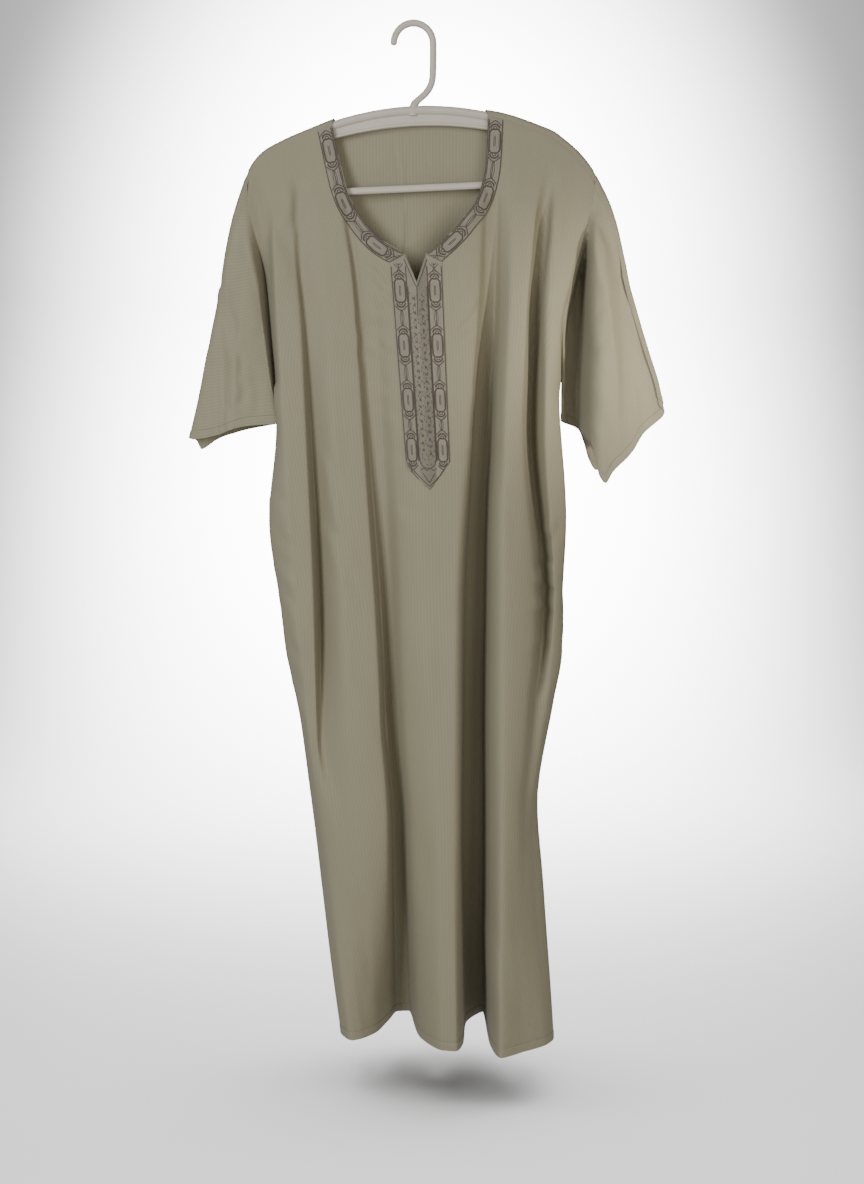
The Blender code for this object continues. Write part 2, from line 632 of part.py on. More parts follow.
def surface_under(panel):
    """A function giving the point and outward direction of a panel's face in front of a place (x, z)."""
    mesh = panel.data
    tree = BVHTree.FromPolygons([v.co for v in mesh.vertices], [p.vertices[:] for p in mesh.polygons])

    def find(x, z):
        found, normal, _, _ = tree.ray_cast(Vector((x * MM, -0.3, z * MM)), Vector((0, 1, 0)))
        if found is None:
            found, normal, _, _ = tree.find_nearest(Vector((x * MM, -0.02, z * MM)))
        if normal.y > 0:
            normal = -normal
        return np.array(found) / MM, np.array(normal)

    return find


def laid_on(outline, find):
    """Points of a grid of (x, z) on a panel's face, brought forward until every facet clears it by the lift."""
    depth = np.array([[find(x, z)[0][1] for x, z in column] for column in outline])
    shares = [(a, b) for a in (0.0, 0.25, 0.5, 0.75, 1.0) for b in (0.0, 0.25, 0.5, 0.75, 1.0)]
    for column in range(depth.shape[0] - 1):
        for row in range(depth.shape[1] - 1):
            corners = outline[column:column + 2, row:row + 2]
            short = 0.0
            for a, b in shares:
                weight = np.array([[(1 - a) * (1 - b), (1 - a) * b], [a * (1 - b), a * b]])
                x, z = np.sum(corners * weight[..., None], axis=(0, 1))
                gap = find(x, z)[0][1] - np.sum(depth[column:column + 2, row:row + 2] * weight)
                short = max(short, TRIM_LIFT - gap)
            depth[column:column + 2, row:row + 2] -= short
    return np.stack([outline[..., 0], depth, outline[..., 1]], axis=-1)


def trim_object(name, outline, find):
    """A flat trim laid on the front. outline is a grid of (x, z) indexed [column, row]."""
    under = laid_on(np.asarray(outline, float), find)
    normal = normals_of(under)
    if np.mean(normal[..., 1]) > 0:
        normal = -normal
    return wall_object(name, under + normal * TRIM_THICK, normal, TRIM_THICK)


def band_outline(side):
    """(x, z) grid of a neck band: across its width, then down along the neckline."""
    sign = -1 if side == "left" else 1
    edge = [(row[1] if side == "left" else row[2], row[0]) for row in NECKLINE[:-1]]
    seam_x = NECK_LEFT_X if side == "left" else NECK_RIGHT_X
    top = (seam_x + sign * 0.4, float(shoulder_seam(seam_x)) - 1.2)
    edge = [top, *edge]
    inner = np.array(edge, float)
    direction = unit(np.gradient(inner, axis=0))
    out = np.stack([direction[:, 1], -direction[:, 0]], axis=-1) * (1 if side == "left" else -1)
    outer = inner + out * BAND_WIDTH
    outer[0] = (top[0] + sign * BAND_WIDTH, float(shoulder_seam(top[0] + sign * BAND_WIDTH)) - 1.2)
    corner = PLACKET[0 if side == "left" else -1]
    inner = np.vstack([inner, PLACKET_NOTCH[side]])
    outer = np.vstack([outer, (corner[0], corner[1] + 0.9)])
    dense_inner, dense_outer = refine(inner), refine(outer)
    steps = np.linspace(0.0, 1.0, BAND_COLUMNS + 1)[:, None, None]
    return dense_inner * (1 - steps) + dense_outer * steps


def refine(run):
    """A run with a point added halfway along each step."""
    middle = (run[1:] + run[:-1]) / 2
    full = np.empty((len(run) + len(middle), 2))
    full[::2], full[1::2] = run, middle
    return full


def placket_outline():
    """(x, z) grid of the placket: columns from left to right, each from its top to its foot."""
    columns = []
    for top_x, top_z, foot_x, foot_z in PLACKET:
        share = np.linspace(0.0, 1.0, PLACKET_ROWS + 1)
        columns.append(np.stack([top_x + (foot_x - top_x) * share, top_z + (foot_z - top_z) * share], axis=-1))
    return np.array(columns)


def arm_profile(height, swell):
    """Section of the hanger's arm as (y, z) from its top edge: a round bead, a thin web and a foot."""
    half = []
    for degrees in (0, 26, 52, 78, 104, 130, 154):
        turn = math.radians(degrees)
        half.append((ARM_BEAD * math.sin(turn), ARM_BEAD * (math.cos(turn) - 1)))
    half += [(WEB_HALF, -2 * ARM_BEAD + 0.3), (WEB_HALF, -height + 4.2), (FOOT_HALF, -height + 3.0),
             (FOOT_HALF, -height + 0.8), (FOOT_HALF - 1.2, -height)]
    around = half + [(-y, z) for y, z in reversed(half) if y > 0.01]
    middle = -ARM_BEAD
    return [(y * swell, middle + (z - middle) * swell) for y, z in around]


def swept(name, sections):
    """A closed solid through a row of sections that have the same number of points."""
    count = len(sections[0])
    points = [point for section in sections for point in section]
    faces = [list(range(count)), [len(points) - 1 - n for n in range(count)]]
    for number in range(len(sections) - 1):
        for n in range(count):
            a, b = number * count + n, number * count + (n + 1) % count
            faces.append([a, b, b + count, a + count])
    return mesh_object(name, points, faces)


def tube(name, path, radii, points=14, flatten=1.0):
    """A round bar along a path in the XZ plane; flatten is its depth over its height."""
    path = np.asarray(path, float)
    direction = unit(np.gradient(path, axis=0))
    sections = []
    for (x, z), (dx, dz), radius in zip(path, direction, radii):
        ring = []
        for n in range(points):
            turn = 2 * math.pi * n / points
            side, depth = radius * math.cos(turn), radius * flatten * math.sin(turn)
            ring.append((x - dz * side, depth, z + dx * side))
        sections.append(ring)
    return swept(name, sections)


def rounded_ends(path, radius, ease_length):
    """Radii along a path that close softly at its first end."""
    path = np.asarray(path, float)
    places = np.concatenate([[0.0], np.cumsum(np.linalg.norm(np.diff(path, axis=0), axis=1))])
    share = np.clip(places / ease_length, 0.0, 1.0)
    return radius * np.sqrt(np.clip(1 - (1 - share) ** 2, 0.02, 1.0))


def hook_path():
    """Centre line of the hook: from its tip over the rail, down and across to the middle of the arm."""
    centre_z = HOOK_BAR - HOOK_RADIUS
    path = []
    for degrees in (186, 183, 180, *range(168, -1, -12)):
        turn = math.radians(degrees)
        path.append((HOOK_RADIUS * math.cos(turn), centre_z + HOOK_RADIUS * math.sin(turn)))
    path += [(25.5, -35), (25.4, -50), (25.0, -62), (23.6, -70), (20.6, -77), (16, -83), (10.5, -88), (5.6, -92),
             (1.8, -96), (0, -101), (-0.6, -106), (-0.6, -112)]
    return path


def hanger_object():
    """The hook, the arched arm and the trouser rail as one moulding."""
    sections = []
    start, end = ARM_CENTRE_X - ARM_HALF_WIDTH, ARM_CENTRE_X + ARM_HALF_WIDTH
    inner = np.linspace(start + 6.0, end - 6.0, 21)
    stations = [start, start + 0.8, start + 2.4, *inner, end - 2.4, end - 0.8, end]
    for x in stations:
        share = abs(x - ARM_CENTRE_X) / ARM_HALF_WIDTH
        height = ARM_HEIGHT + (ARM_END_HEIGHT - ARM_HEIGHT) * share ** 2
        edge = min(x - start, end - x)
        swell = math.sqrt(max(0.1, 1 - (1 - min(edge / 6.0, 1.0)) ** 2))
        top = float(arm_top(x))
        sections.append([(x, y, top + z) for y, z in arm_profile(height, swell)])
    arm = swept("hanger", sections)
    path = hook_path()
    radii = rounded_ends(path, HOOK_BAR, 4.0)
    radii[-4:] = (5.2, 6.0, 6.4, 6.4)
    hook = tube("hook", path, radii, 14)
    legs = []
    left_top, right_top = float(arm_top(start + 8)) - 9.0, float(arm_top(end - 8)) - 9.0
    rail_left, rail_right = rail_height(start + 24), rail_height(end - 24)
    legs += [(start + 9, left_top), (start + 5, left_top - 12), (start + 4.5, left_top - 24),
             (start + 8, rail_left + 7), (start + 14, rail_left + 1.5), (start + 24, rail_left)]
    legs += [(x, rail_height(x)) for x in np.linspace(start + 60, end - 60, 7)]
    legs += [(end - 24, rail_right), (end - 14, rail_right + 1.5), (end - 8, rail_right + 8),
             (end - 4.5, right_top - 26), (end - 5, right_top - 12), (end - 9, right_top)]
    rail = tube("rail", legs, [RAIL_HALF_HEIGHT] * len(legs), 12, RAIL_HALF_DEPTH / RAIL_HALF_HEIGHT)
    for other in (hook, rail):
        join = arm.modifiers.new(other.name, "BOOLEAN")
        join.operation = "UNION"
        join.solver = "EXACT"
        join.object = other
        other.hide_render = True
        other.display_type = "WIRE"
    return arm


def rail_height(x):
    """Height of the middle of the trouser rail."""
    return ARM_TOP_Z - RAIL_DROP - RAIL_HALF_HEIGHT + RAIL_TILT * (x - ARM_CENTRE_X)


def material(name, colour, roughness):
    """A plain material with the piece's colour and roughness."""
    made = bpy.data.materials.new(name)
    made.use_nodes = True
    shader = made.node_tree.nodes["Principled BSDF"]
    shader.inputs["Base Color"].default_value = (*colour, 1.0)
    shader.inputs["Roughness"].default_value = roughness
    return made


def main():
    for obj in list(bpy.data.objects):
        bpy.data.objects.remove(obj)
    front = front_grid()
    front_normal = -normals_of(front)
    back, back_normal = back_grid(front)
    join_panels(front, front_normal, back, back_normal)
    sleeves = {}
    for side, edge, sign in (("left", 0, -1), ("right", -1, 1)):
        ring, ring_normal = armhole(front, back, front_normal, back_normal, edge)
        grid = sleeve_grid(ring, side)
        normal = sign * normals_of(grid, closed=True)
        meeting, shared = share_normals(ring_normal, normal[:, 0])
        normal[:, 0] = np.where(meeting, shared, normal[:, 0])
        ring_normal = np.where(meeting, shared, ring_normal)
        rows, wrap = ROWS_ABOVE_ARMPIT + 1, len(WRAP_ANGLES)
        front_normal[edge, 1: rows - 1] = ring_normal[1: rows - 1]
        back_normal[edge, rows + wrap - 2: 0: -1] = ring_normal[rows:]
        sleeves[side] = (grid, normal)
    panel = wall_object("front_panel", front, front_normal, CLOTH)
    cloth = [panel, wall_object("back_panel", back, back_normal, CLOTH)]
    for side, (grid, normal) in sleeves.items():
        cloth.append(wall_object("sleeve_" + side, grid, normal, CLOTH, closed=True))
    find = surface_under(panel)
    trims = [trim_object("neck_band_left", band_outline("left"), find),
             trim_object("neck_band_right", band_outline("right"), find),
             trim_object("placket", placket_outline(), find)]
    cloth_material = material("cloth", (0.36, 0.34, 0.26), 0.85)
    trim_material = material("embroidered_cloth", (0.31, 0.27, 0.22), 0.8)
    for obj in cloth:
        obj.data.materials.append(cloth_material)
    for obj in trims:
        obj.data.materials.append(trim_material)
    hanger_object().data.materials.append(material("hanger_plastic", (0.62, 0.59, 0.54), 0.45))


main()
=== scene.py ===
# %% [markdown]
# # A short-sleeved robe on its hanger
# The robe is cut from a light striped cloth and hangs from a moulded hanger by its shoulders. Everything about how it
# looks comes from gravity: the cloth turns over the hanger's arm and the sleeve tops, and all the width that the
# shoulders don't need falls into long soft folds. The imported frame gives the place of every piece. This script puts a
# finer cloth over it, then the embroidered trims, the stitching and the finishes.

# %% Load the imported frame
import math

import bpy
import numpy as np
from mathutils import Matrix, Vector
from mathutils.bvhtree import BVHTree


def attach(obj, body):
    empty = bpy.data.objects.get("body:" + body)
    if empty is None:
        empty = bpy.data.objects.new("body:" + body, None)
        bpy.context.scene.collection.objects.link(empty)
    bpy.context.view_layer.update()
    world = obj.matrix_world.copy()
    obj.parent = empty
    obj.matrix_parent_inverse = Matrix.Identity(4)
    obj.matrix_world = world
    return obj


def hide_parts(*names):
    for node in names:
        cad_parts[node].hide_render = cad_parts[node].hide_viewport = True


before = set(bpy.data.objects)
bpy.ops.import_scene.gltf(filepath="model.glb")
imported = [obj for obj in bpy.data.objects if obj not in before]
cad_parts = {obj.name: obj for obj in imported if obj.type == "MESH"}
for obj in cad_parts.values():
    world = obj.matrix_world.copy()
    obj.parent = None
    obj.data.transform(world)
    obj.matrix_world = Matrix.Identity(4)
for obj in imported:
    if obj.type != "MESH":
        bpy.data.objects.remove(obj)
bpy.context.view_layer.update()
MM = 0.001

# %% [markdown]
# ## The camera
# The photograph is taken from a little above the middle of the robe, about 1.8 m away, so the hem is seen from above
# and its folds draw the wavy line along the bottom. The long side of the picture is 1184 pixels, and the lens follows
# from how large the robe is in it.

# %% Camera
camera_data = bpy.data.cameras.new("camera")
camera = bpy.data.objects.new("camera", camera_data)
bpy.context.scene.collection.objects.link(camera)
camera.location = (0.024, -1.8, -0.518)
camera.rotation_euler = (math.radians(90 - 6.93), 0, 0)
camera_data.sensor_width = 36
camera_data.lens = 36 * 1333 / 1184
bpy.context.scene.camera = camera
print("lens", round(camera_data.lens, 1))

# %% [markdown]
# ## A small language for materials
# A material here is a few lines of arithmetic. `Wire` wraps one number that runs between nodes, and `+`, `-`, `*` and
# `/` on it add Math nodes, so a stripe can be written the way it would be on paper. Colours are joined with Mix nodes.

# %% Wires and finishes
class Wire:
    """One number on its way through a material's nodes."""

    def __init__(self, finish, socket):
        self.finish, self.socket = finish, socket

    def math(self, operation, *others):
        return self.finish.node("ShaderNodeMath", {"operation": operation}, self, *others)

    def __add__(self, other): return self.math("ADD", other)
    def __sub__(self, other): return self.math("SUBTRACT", other)
    def __mul__(self, other): return self.math("MULTIPLY", other)
    def __truediv__(self, other): return self.math("DIVIDE", other)
    def __radd__(self, other): return self.math("ADD", other)
    def __rmul__(self, other): return self.math("MULTIPLY", other)
    def __rsub__(self, other): return self * -1 + other

    def wave(self, length):
        """A sine wave along this number, -1 to 1."""
        return (self * (2 * math.pi / length)).math("SINE")

    def clamped(self):
        return self.math("MAXIMUM", 0.0).math("MINIMUM", 1.0)


class Finish:
    """A material built from nodes, with its Principled shader."""

    def __init__(self, name, roughness, **constants):
        self.material = bpy.data.materials.new(name)
        self.material.use_nodes = True
        self.tree = self.material.node_tree
        self.shader = self.tree.nodes["Principled BSDF"]
        self.shader.inputs["Roughness"].default_value = roughness
        for socket, value in constants.items():
            self.shader.inputs[socket.replace("_", " ")].default_value = value

    def node(self, kind, settings, *values, out=0, **named):
        """Adds a node, sets it up, feeds its sockets in order or by name, and returns one of its outputs."""
        made = self.tree.nodes.new(kind)
        for key, value in settings.items():
            setattr(made, key, value)
        for socket, value in [*enumerate(values), *named.items()]:
            target = made.inputs[socket]
            if isinstance(value, Wire):
                self.tree.links.new(value.socket, target)
            else:
                target.default_value = value
        return Wire(self, made.outputs[out])

    def mix(self, share, first, second):
        """A colour between two others; sockets 6 and 7 are the Mix node's colours."""
        mixed = self.node("ShaderNodeMix", {"data_type": "RGBA"}, share, out=2)
        for number, colour in ((6, first), (7, second)):
            mixed.socket.node.inputs[number].default_value = (*colour, 1)
        return mixed

    def coordinates(self, kind):
        """Three numbers that give a place. UV is measured on the cloth, in metres: across it and along it."""
        split = self.node("ShaderNodeSeparateXYZ", {}, self.node("ShaderNodeTexCoord", {}, out=kind))
        return [Wire(self, output) for output in split.socket.node.outputs]

    def noise(self, scale, detail=2.0, stretch=None):
        """Soft random shades through the object, stretched along an axis if asked."""
        place = self.node("ShaderNodeTexCoord", {}, out="Object")
        if stretch:
            place = self.node("ShaderNodeMapping", {}, place, Scale=stretch)
        return self.node("ShaderNodeTexNoise", {}, Vector=place, Scale=scale, Detail=detail)

    def feed(self, socket, wire):
        self.tree.links.new(wire.socket, self.shader.inputs[socket])

    def bump(self, height, distance, strength=1.0):
        """Feeds a height in 0 to 1 to the shader's normal; distance is its depth in metres."""
        self.feed("Normal", self.node("ShaderNodeBump", {}, Height=height, Distance=distance, Strength=strength))


# %% [markdown]
# ## The finishes
# The robe's cloth is a greyed khaki with a fine self stripe: the same thread woven in two ways, so the stripe is more
# a change of shine and height than of colour. The stripe has to follow the cloth over its folds, so it is drawn in
# the cloth's own measured coordinates. The embroidery is a dull mauve-brown thread on a ground that is slightly
# pinker than the cloth, with pale satin fillings.

# %% Cloth
STRIPE, YARN, RIB, TWIST = 0.0044, 0.0011, 0.0016, 0.0013
CLOTH_LIGHT, CLOTH_DARK = (0.268, 0.249, 0.176), (0.222, 0.205, 0.139)


def woven_cloth(name, light, dark):
    finish = Finish(name, 0.62, Sheen_Weight=0.1, Sheen_Roughness=0.45, Specular_IOR_Level=0.3)
    across, along, _ = finish.coordinates("UV")
    stripe = (across.wave(STRIPE) * 1.6 + 0.5).clamped()
    weave = across.wave(YARN) * along.wave(YARN)
    blotch = finish.noise(7.0, 3.0)
    slub = finish.noise(60.0, 2.0, (4.0, 4.0, 0.5))
    shade = stripe * 0.26 + blotch * 0.55 + slub * 0.36 - 0.14
    finish.feed("Base Color", finish.mix(shade.clamped(), dark, light))
    finish.feed("Roughness", 0.68 - stripe * 0.12)
    finish.bump(stripe * 0.3 + weave * 0.25 + slub * 0.45, 0.0002)
    return finish.material


cloth = woven_cloth("striped_cloth", CLOTH_LIGHT, CLOTH_DARK)
print("cloth", cloth.name, "stripe", STRIPE * 1000, "mm")

# %% Embroidered ground and threads
def stitched_ground(name):
    finish = Finish(name, 0.6, Sheen_Weight=0.2, Sheen_Roughness=0.4)
    across, along, _ = finish.coordinates("UV")
    rib = (across * 0.55 + along).wave(RIB)
    grain = finish.noise(420.0, 2.0)
    patch = finish.noise(38.0, 2.0)
    shade = (rib * 0.16 + grain * 0.5 + patch * 0.5).clamped()
    finish.feed("Base Color", finish.mix(shade, (0.178, 0.160, 0.124), (0.272, 0.246, 0.194)))
    finish.bump(rib * 0.4 + grain * 0.6, 0.0003)
    return finish.material


def thread(name, light, dark, roughness):
    finish = Finish(name, roughness, Sheen_Weight=0.15, Sheen_Roughness=0.4)
    across, along, _ = finish.coordinates("UV")
    twist = (along + across).wave(TWIST) * 0.5 + 0.5
    finish.feed("Base Color", finish.mix(twist, dark, light))
    finish.bump(twist, 0.00025)
    return finish.material


ground = stitched_ground("embroidered_ground")
dark_thread = thread("mauve_brown_thread", (0.098, 0.078, 0.064), (0.046, 0.036, 0.030), 0.55)
pale_thread = thread("pale_satin_thread", (0.268, 0.241, 0.196), (0.185, 0.164, 0.130), 0.6)
sewing_thread = thread("sewing_thread", (0.20, 0.185, 0.14), (0.13, 0.118, 0.088), 0.6)
print("threads", dark_thread.name, pale_thread.name, sewing_thread.name)

# %% Moulded plastic
def moulded_plastic():
    finish = Finish("moulded_plastic", 0.42, Coat_Weight=0.1, Coat_Roughness=0.3)
    cloud = finish.noise(26.0, 3.0)
    grain = finish.noise(900.0, 1.0)
    finish.feed("Base Color", finish.mix(cloud, (0.45, 0.415, 0.36), (0.52, 0.485, 0.425)))
    finish.feed("Roughness", 0.34 + cloud * 0.2)
    finish.bump(grain, 0.00006)
    return finish.material


plastic = moulded_plastic()
print("hanger finish", plastic.name)

# %% [markdown]
# ## How the cloth hangs
# A hanging cloth is easiest to describe by its folds. Each fold line has a name, and a short table gives how far it is
# to the side and how deep it is at a few heights. Smooth curves join these numbers, down each line and from one line
# to the next, and they never swing past a value, so a fold keeps the depth it was given. All of this is in
# millimetres, measured from the hook.

# %% Folds of the front and back
HEM_Z, ARMPIT_Z = -1362.0, -455.0
RIDGE_RADIUS, SEAM_DROP, SHOULDER_BLEND = 8.5, 8.0, 120.0
SEAM_ARC, SEAM_DEGREES = 12.85, 86.6  # from the top of the ridge round to the seam
FRONT_LEVELS = (-167, -322, -510, -748, -930, -1050, -1362)
FRONT_FOLDS = (
    ("left_ridge", (-183, -179, -170, -156, -142, -127, -88), (-12, -24, -32, -40, -35, -34, -32)),
    ("left_edge", (-168, -154, -144, -135, -132, -115, -76), (-13, -22, -31, -38, -37, -41, -28)),
    ("left_valley", (-152, -146, -137, -128, -125, -101, -66), (-12, -13, -10, -8, -28, -46, -20)),
    ("second_ridge", (-133, -115, -103, -92, -84, -72, -54), (-13, -22, -33, -45, -50, -51, -6)),
    ("second_edge", (-112, -82, -69, -53, -44, -37, -38), (-13, -21, -31, -42, -45, -44, 34)),
    ("second_valley", (-100, -74, -62, -46, -39, -32, -27), (-12, -11, -13, -6, 1, 9, 62)),
    ("centre_foot", (-82, -56, -44, -33, -26, -19, -10), (-12, -14, -17, -14, -8, 1, 64)),
    ("centre_left", (-58, -36, -26, -15, -11, -4, 6), (-13, -19, -30, -38, -34, -30, -18)),
    ("centre_ridge", (8, 10, 14, 20, 28, 33, 38), (-14, -26, -42, -52, -55, -56, -62)),
    ("centre_right", (60, 60, 60, 52, 51, 51, 56), (-14, -25, -40, -54, -57, -58, -65)),
    ("centre_edge", (87, 85, 74, 63, 62, 62, 67), (-13, -20, -35, -46, -48, -50, -40)),
    ("deep_left", (97, 94, 81, 70, 68, 68, 72), (-12, -7, 8, 14, 18, 20, 22)),
    ("deep_right", (108, 107, 101, 96, 95, 95, 98), (-12, 0, 16, 26, 32, 36, 60)),
    ("fourth_edge", (117, 115, 108, 103, 102, 102, 104), (-12, -14, -28, -36, -40, -42, -42)),
    ("fourth_ridge", (134, 130, 122, 120, 119, 118, 118), (-13, -27, -45, -58, -66, -70, -85)),
    ("fourth_fall", (164, 152, 142, 162, 146, 136, 151), (-13, -26, -37, -40, -53, -60, -66)),
    ("right_valley", (180, 165, 157, 177, 160, 149, 168), (-12, -2, 12, 4, -34, -46, -56)),
    ("right_ridge", (196, 178, 174, 189, 173, 160, 183), (-12, -22, -29, -20, -28, -34, -44)),
)
BACK_LEVELS = (-167, -455, -748, -1362)
BACK_FOLDS = (
    ("back_left_ridge", (-160, -160, -155, -80), (13, 46, 58, 92)),
    ("back_left_valley", (-120, -122, -122, -58), (13, 24, 26, 42)),
    ("back_second_ridge", (-60, -62, -66, -22), (13, 56, 74, 118)),
    ("back_second_valley", (0, 4, 12, 28), (13, 24, 28, 32)),
    ("back_third_ridge", (60, 66, 76, 84), (13, 58, 80, 126)),
    ("back_third_valley", (112, 122, 128, 136), (13, 22, 24, 26)),
    ("back_far_ridge", (160, 160, 156, 160), (13, 46, 52, 74)),
)
# height; left turn x, y; left seam x, y; right turn x, y; right seam x, y
SIDES = (
    (-190, -206, -8, -228, -4, 228, -10, 241, -6),
    (-250, -192, -9, -212, 1, 216, -13, 228, -10),
    (-322, -189, -8, -197, 8, 199, -20, 209, -15),
    (-395, -186, -8, -191, 8, 190, -22, 196, -8),
    (-455, -183, -8, -188, 11, 190, -17, 197, 4),
    (-465, -187, -8, -190, 12, 190, -16, 196, 4),
    (-475, -187, -8, -188, 13, 191, -15, 195, 4),
    (-510, -184, -8, -183, 14, 195, -13, 195, 5),
    (-640, -195, -8, -190, 14, 205, -10, 203, 5),
    (-748, -183, -8, -177, 16, 201, -8, 198, 7),
    (-817, -176, -8, -170, 16, 202, -6, 199, 8),
    (-886, -161, -6, -155, 17, 191, -8, 188, 9),
    (-1020, -144, -5, -138, 18, 169, -14, 166, 8),
    (-1149, -131, -2, -125, 20, 179, -16, 176, 8),
    (-1362, -105, -4, -99, 24, 194, -22, 190, 6),
)
print(len(FRONT_FOLDS), "fold lines in front,", len(BACK_FOLDS), "behind")

# %% Ridge, neckline, pockets
LEFT_RIDGE = ((-302, -529), (-292, -490), (-281, -441), (-269, -385), (-259, -342), (-249, -285),
              (-238, -239), (-227, -205), (-216, -180), (-204, -163))
RIGHT_RIDGE = ((197, -141), (214, -155), (231, -174), (246, -198), (259, -224), (269, -253), (279, -294),
               (289, -335), (302, -378), (317, -423), (328, -456), (334, -483))
ARMHOLE_TOP_X = {"left": -226.0, "right": 241.0}
NECKLINE = (
    (-146, -101.5, 95.4), (-177, -95, 93.5), (-202, -89, 88.5), (-225, -80, 79.5), (-240, -70, 67.5),
    (-257, -57, 54), (-270, -44, 41), (-281, -28, 28), (-290, -11, 16),
)
NECK_X = {"left": -106.0, "right": 96.5}
NOTCH = (4.0, -326.0)
POCKETS = {"left": (-716.0, -940.0, 4.0, 0.3), "right": (-670.0, -866.0, 4.0, 0.8)}


print("neckline drops to", min(row[0] for row in NECKLINE), "mm, the notch to", NOTCH[1])

# %% Smooth curves
def ease(share):
    """0 to 1 with a soft start and end."""
    share = np.clip(share, 0.0, 1.0)
    return share * share * (3 - 2 * share)


def free_slopes(knots, values):
    """Slopes that keep a curve through the values from overshooting them."""
    step = np.diff(knots)
    secant = np.diff(values, axis=-1) / step
    left, right = secant[..., :-1], secant[..., 1:]
    near, far = 2 * step[1:] + step[:-1], step[1:] + 2 * step[:-1]
    same = left * right > 0
    inner = (near + far) / (near / np.where(same, left, 1.0) + far / np.where(same, right, 1.0))
    return np.concatenate([secant[..., :1], np.where(same, inner, 0.0), secant[..., -1:]], axis=-1)


def between(start, end, leave, arrive, share):
    """The cubic from start to end with these slopes."""
    return (start * (1 + 2 * share) * (1 - share) ** 2 + leave * share * (1 - share) ** 2
            + end * share ** 2 * (3 - 2 * share) - arrive * share ** 2 * (1 - share))


def smooth_curve(knots, values, at):
    """A smooth curve through values given at knots, read at one or many places."""
    knots, values = np.asarray(knots, float), np.asarray(values, float)
    if knots[0] > knots[-1]:
        knots, values = knots[::-1], values[..., ::-1]
    slopes = free_slopes(knots, values)
    at = np.clip(at, knots[0], knots[-1])
    span = np.clip(np.searchsorted(knots, at, side="right") - 1, 0, len(knots) - 2)
    width = knots[span + 1] - knots[span]
    return between(values[..., span], values[..., span + 1], slopes[..., span] * width,
                   slopes[..., span + 1] * width, (at - knots[span]) / width)


def unit(vectors):
    return vectors / np.maximum(np.linalg.norm(vectors, axis=-1, keepdims=True), 1e-9)


def run_places(points):
    """Distance of each point along a run."""
    return np.concatenate([[0.0], np.cumsum(np.linalg.norm(np.diff(points, axis=0), axis=1))])


print("a smooth curve half way from 0 to 1", float(smooth_curve([0, 1, 2], [0.0, 1.0, 1.0], 0.5)))

# %% The ridge that the cloth hangs from
def arm_top(x):
    """Height of the top edge of the hanger's arched arm."""
    return -99.0 - 0.001285 * (x + 4.0) ** 2 + 0.0565 * (x + 4.0)


OVER_ARM = np.linspace(-190.0, 182.0, 25)
RIDGE_X = np.concatenate([[p[0] for p in LEFT_RIDGE], OVER_ARM, [p[0] for p in RIGHT_RIDGE]])
RIDGE_Z = np.concatenate([[p[1] for p in LEFT_RIDGE], arm_top(OVER_ARM) + 2.3, [p[1] for p in RIGHT_RIDGE]])


def ridge(x):
    """Height of the highest line of the cloth."""
    return smooth_curve(RIDGE_X, RIDGE_Z, x)


def stretch(x):
    """Length of the ridge per millimetre across."""
    return np.sqrt(1 + ((ridge(x + 1.0) - ridge(x - 1.0)) / 2.0) ** 2)


def shoulder_seam(x):
    """Height of the seam, just in front of the ridge."""
    return ridge(x) - SEAM_DROP * stretch(x)


print("ridge", len(RIDGE_X), "points, highest", round(float(RIDGE_Z.max())), "mm")

# %% One point of a panel
def pocket(side, z):
    """How far an edge is drawn back from the seam at a pocket mouth, in mm and in fold lines."""
    top, bottom, slit, lip = POCKETS[side]
    open_share = np.clip(1 - ((z - (top + bottom) / 2) / ((top - bottom) / 2)) ** 2, 0.0, 1.0)
    return slit / 2 * np.minimum(1.0, 3 * open_share), lip * open_share ** 3


FRONT_END = float(len(FRONT_FOLDS) + 3)


def front_place(place, z):
    """A place across the front, drawn back where a pocket's lip gapes."""
    if place > FRONT_END - 2:
        return FRONT_END - 2 + (place - FRONT_END + 2) * (1 - pocket("right", z)[1] / 2)
    if place < 2:
        return 2 - (2 - place) * (1 - pocket("left", z)[1] / 2)
    return place + 0.0 * z


def front_nodes(z):
    """x and y of the front's fold lines at some heights, from the left seam to the right one."""
    left_tx, left_ty, left_sx, left_sy, right_tx, right_ty, right_sx, right_sy = sides(z)
    x = smooth_curve(FRONT_LEVELS, [row[1] for row in FRONT_FOLDS], z)
    y = smooth_curve(FRONT_LEVELS, [row[2] for row in FRONT_FOLDS], z)
    return np.vstack([left_sx, left_tx, x, right_tx, right_sx]), np.vstack([left_sy, left_ty, y, right_ty, right_sy])


def back_nodes(z):
    """The same for the back."""
    left_tx, _, left_sx, left_sy, right_tx, _, right_sx, right_sy = sides(z)
    rise = ease((z - ARMPIT_Z) / 75.0)
    left_y, right_y = left_sy + 14 * rise, right_sy + 22 * rise
    x = smooth_curve(BACK_LEVELS, [row[1] for row in BACK_FOLDS], z)
    y = smooth_curve(BACK_LEVELS, [row[2] for row in BACK_FOLDS], z)
    return (np.vstack([left_sx, np.minimum(left_tx, left_sx) + 3, x, np.maximum(right_tx, right_sx) - 3, right_sx]),
            np.vstack([left_y, left_y + 12, y, right_y + 12, right_y]))


def sides(z):
    table = np.array(SIDES, float).T
    return smooth_curve(table[0], table[1:], z)


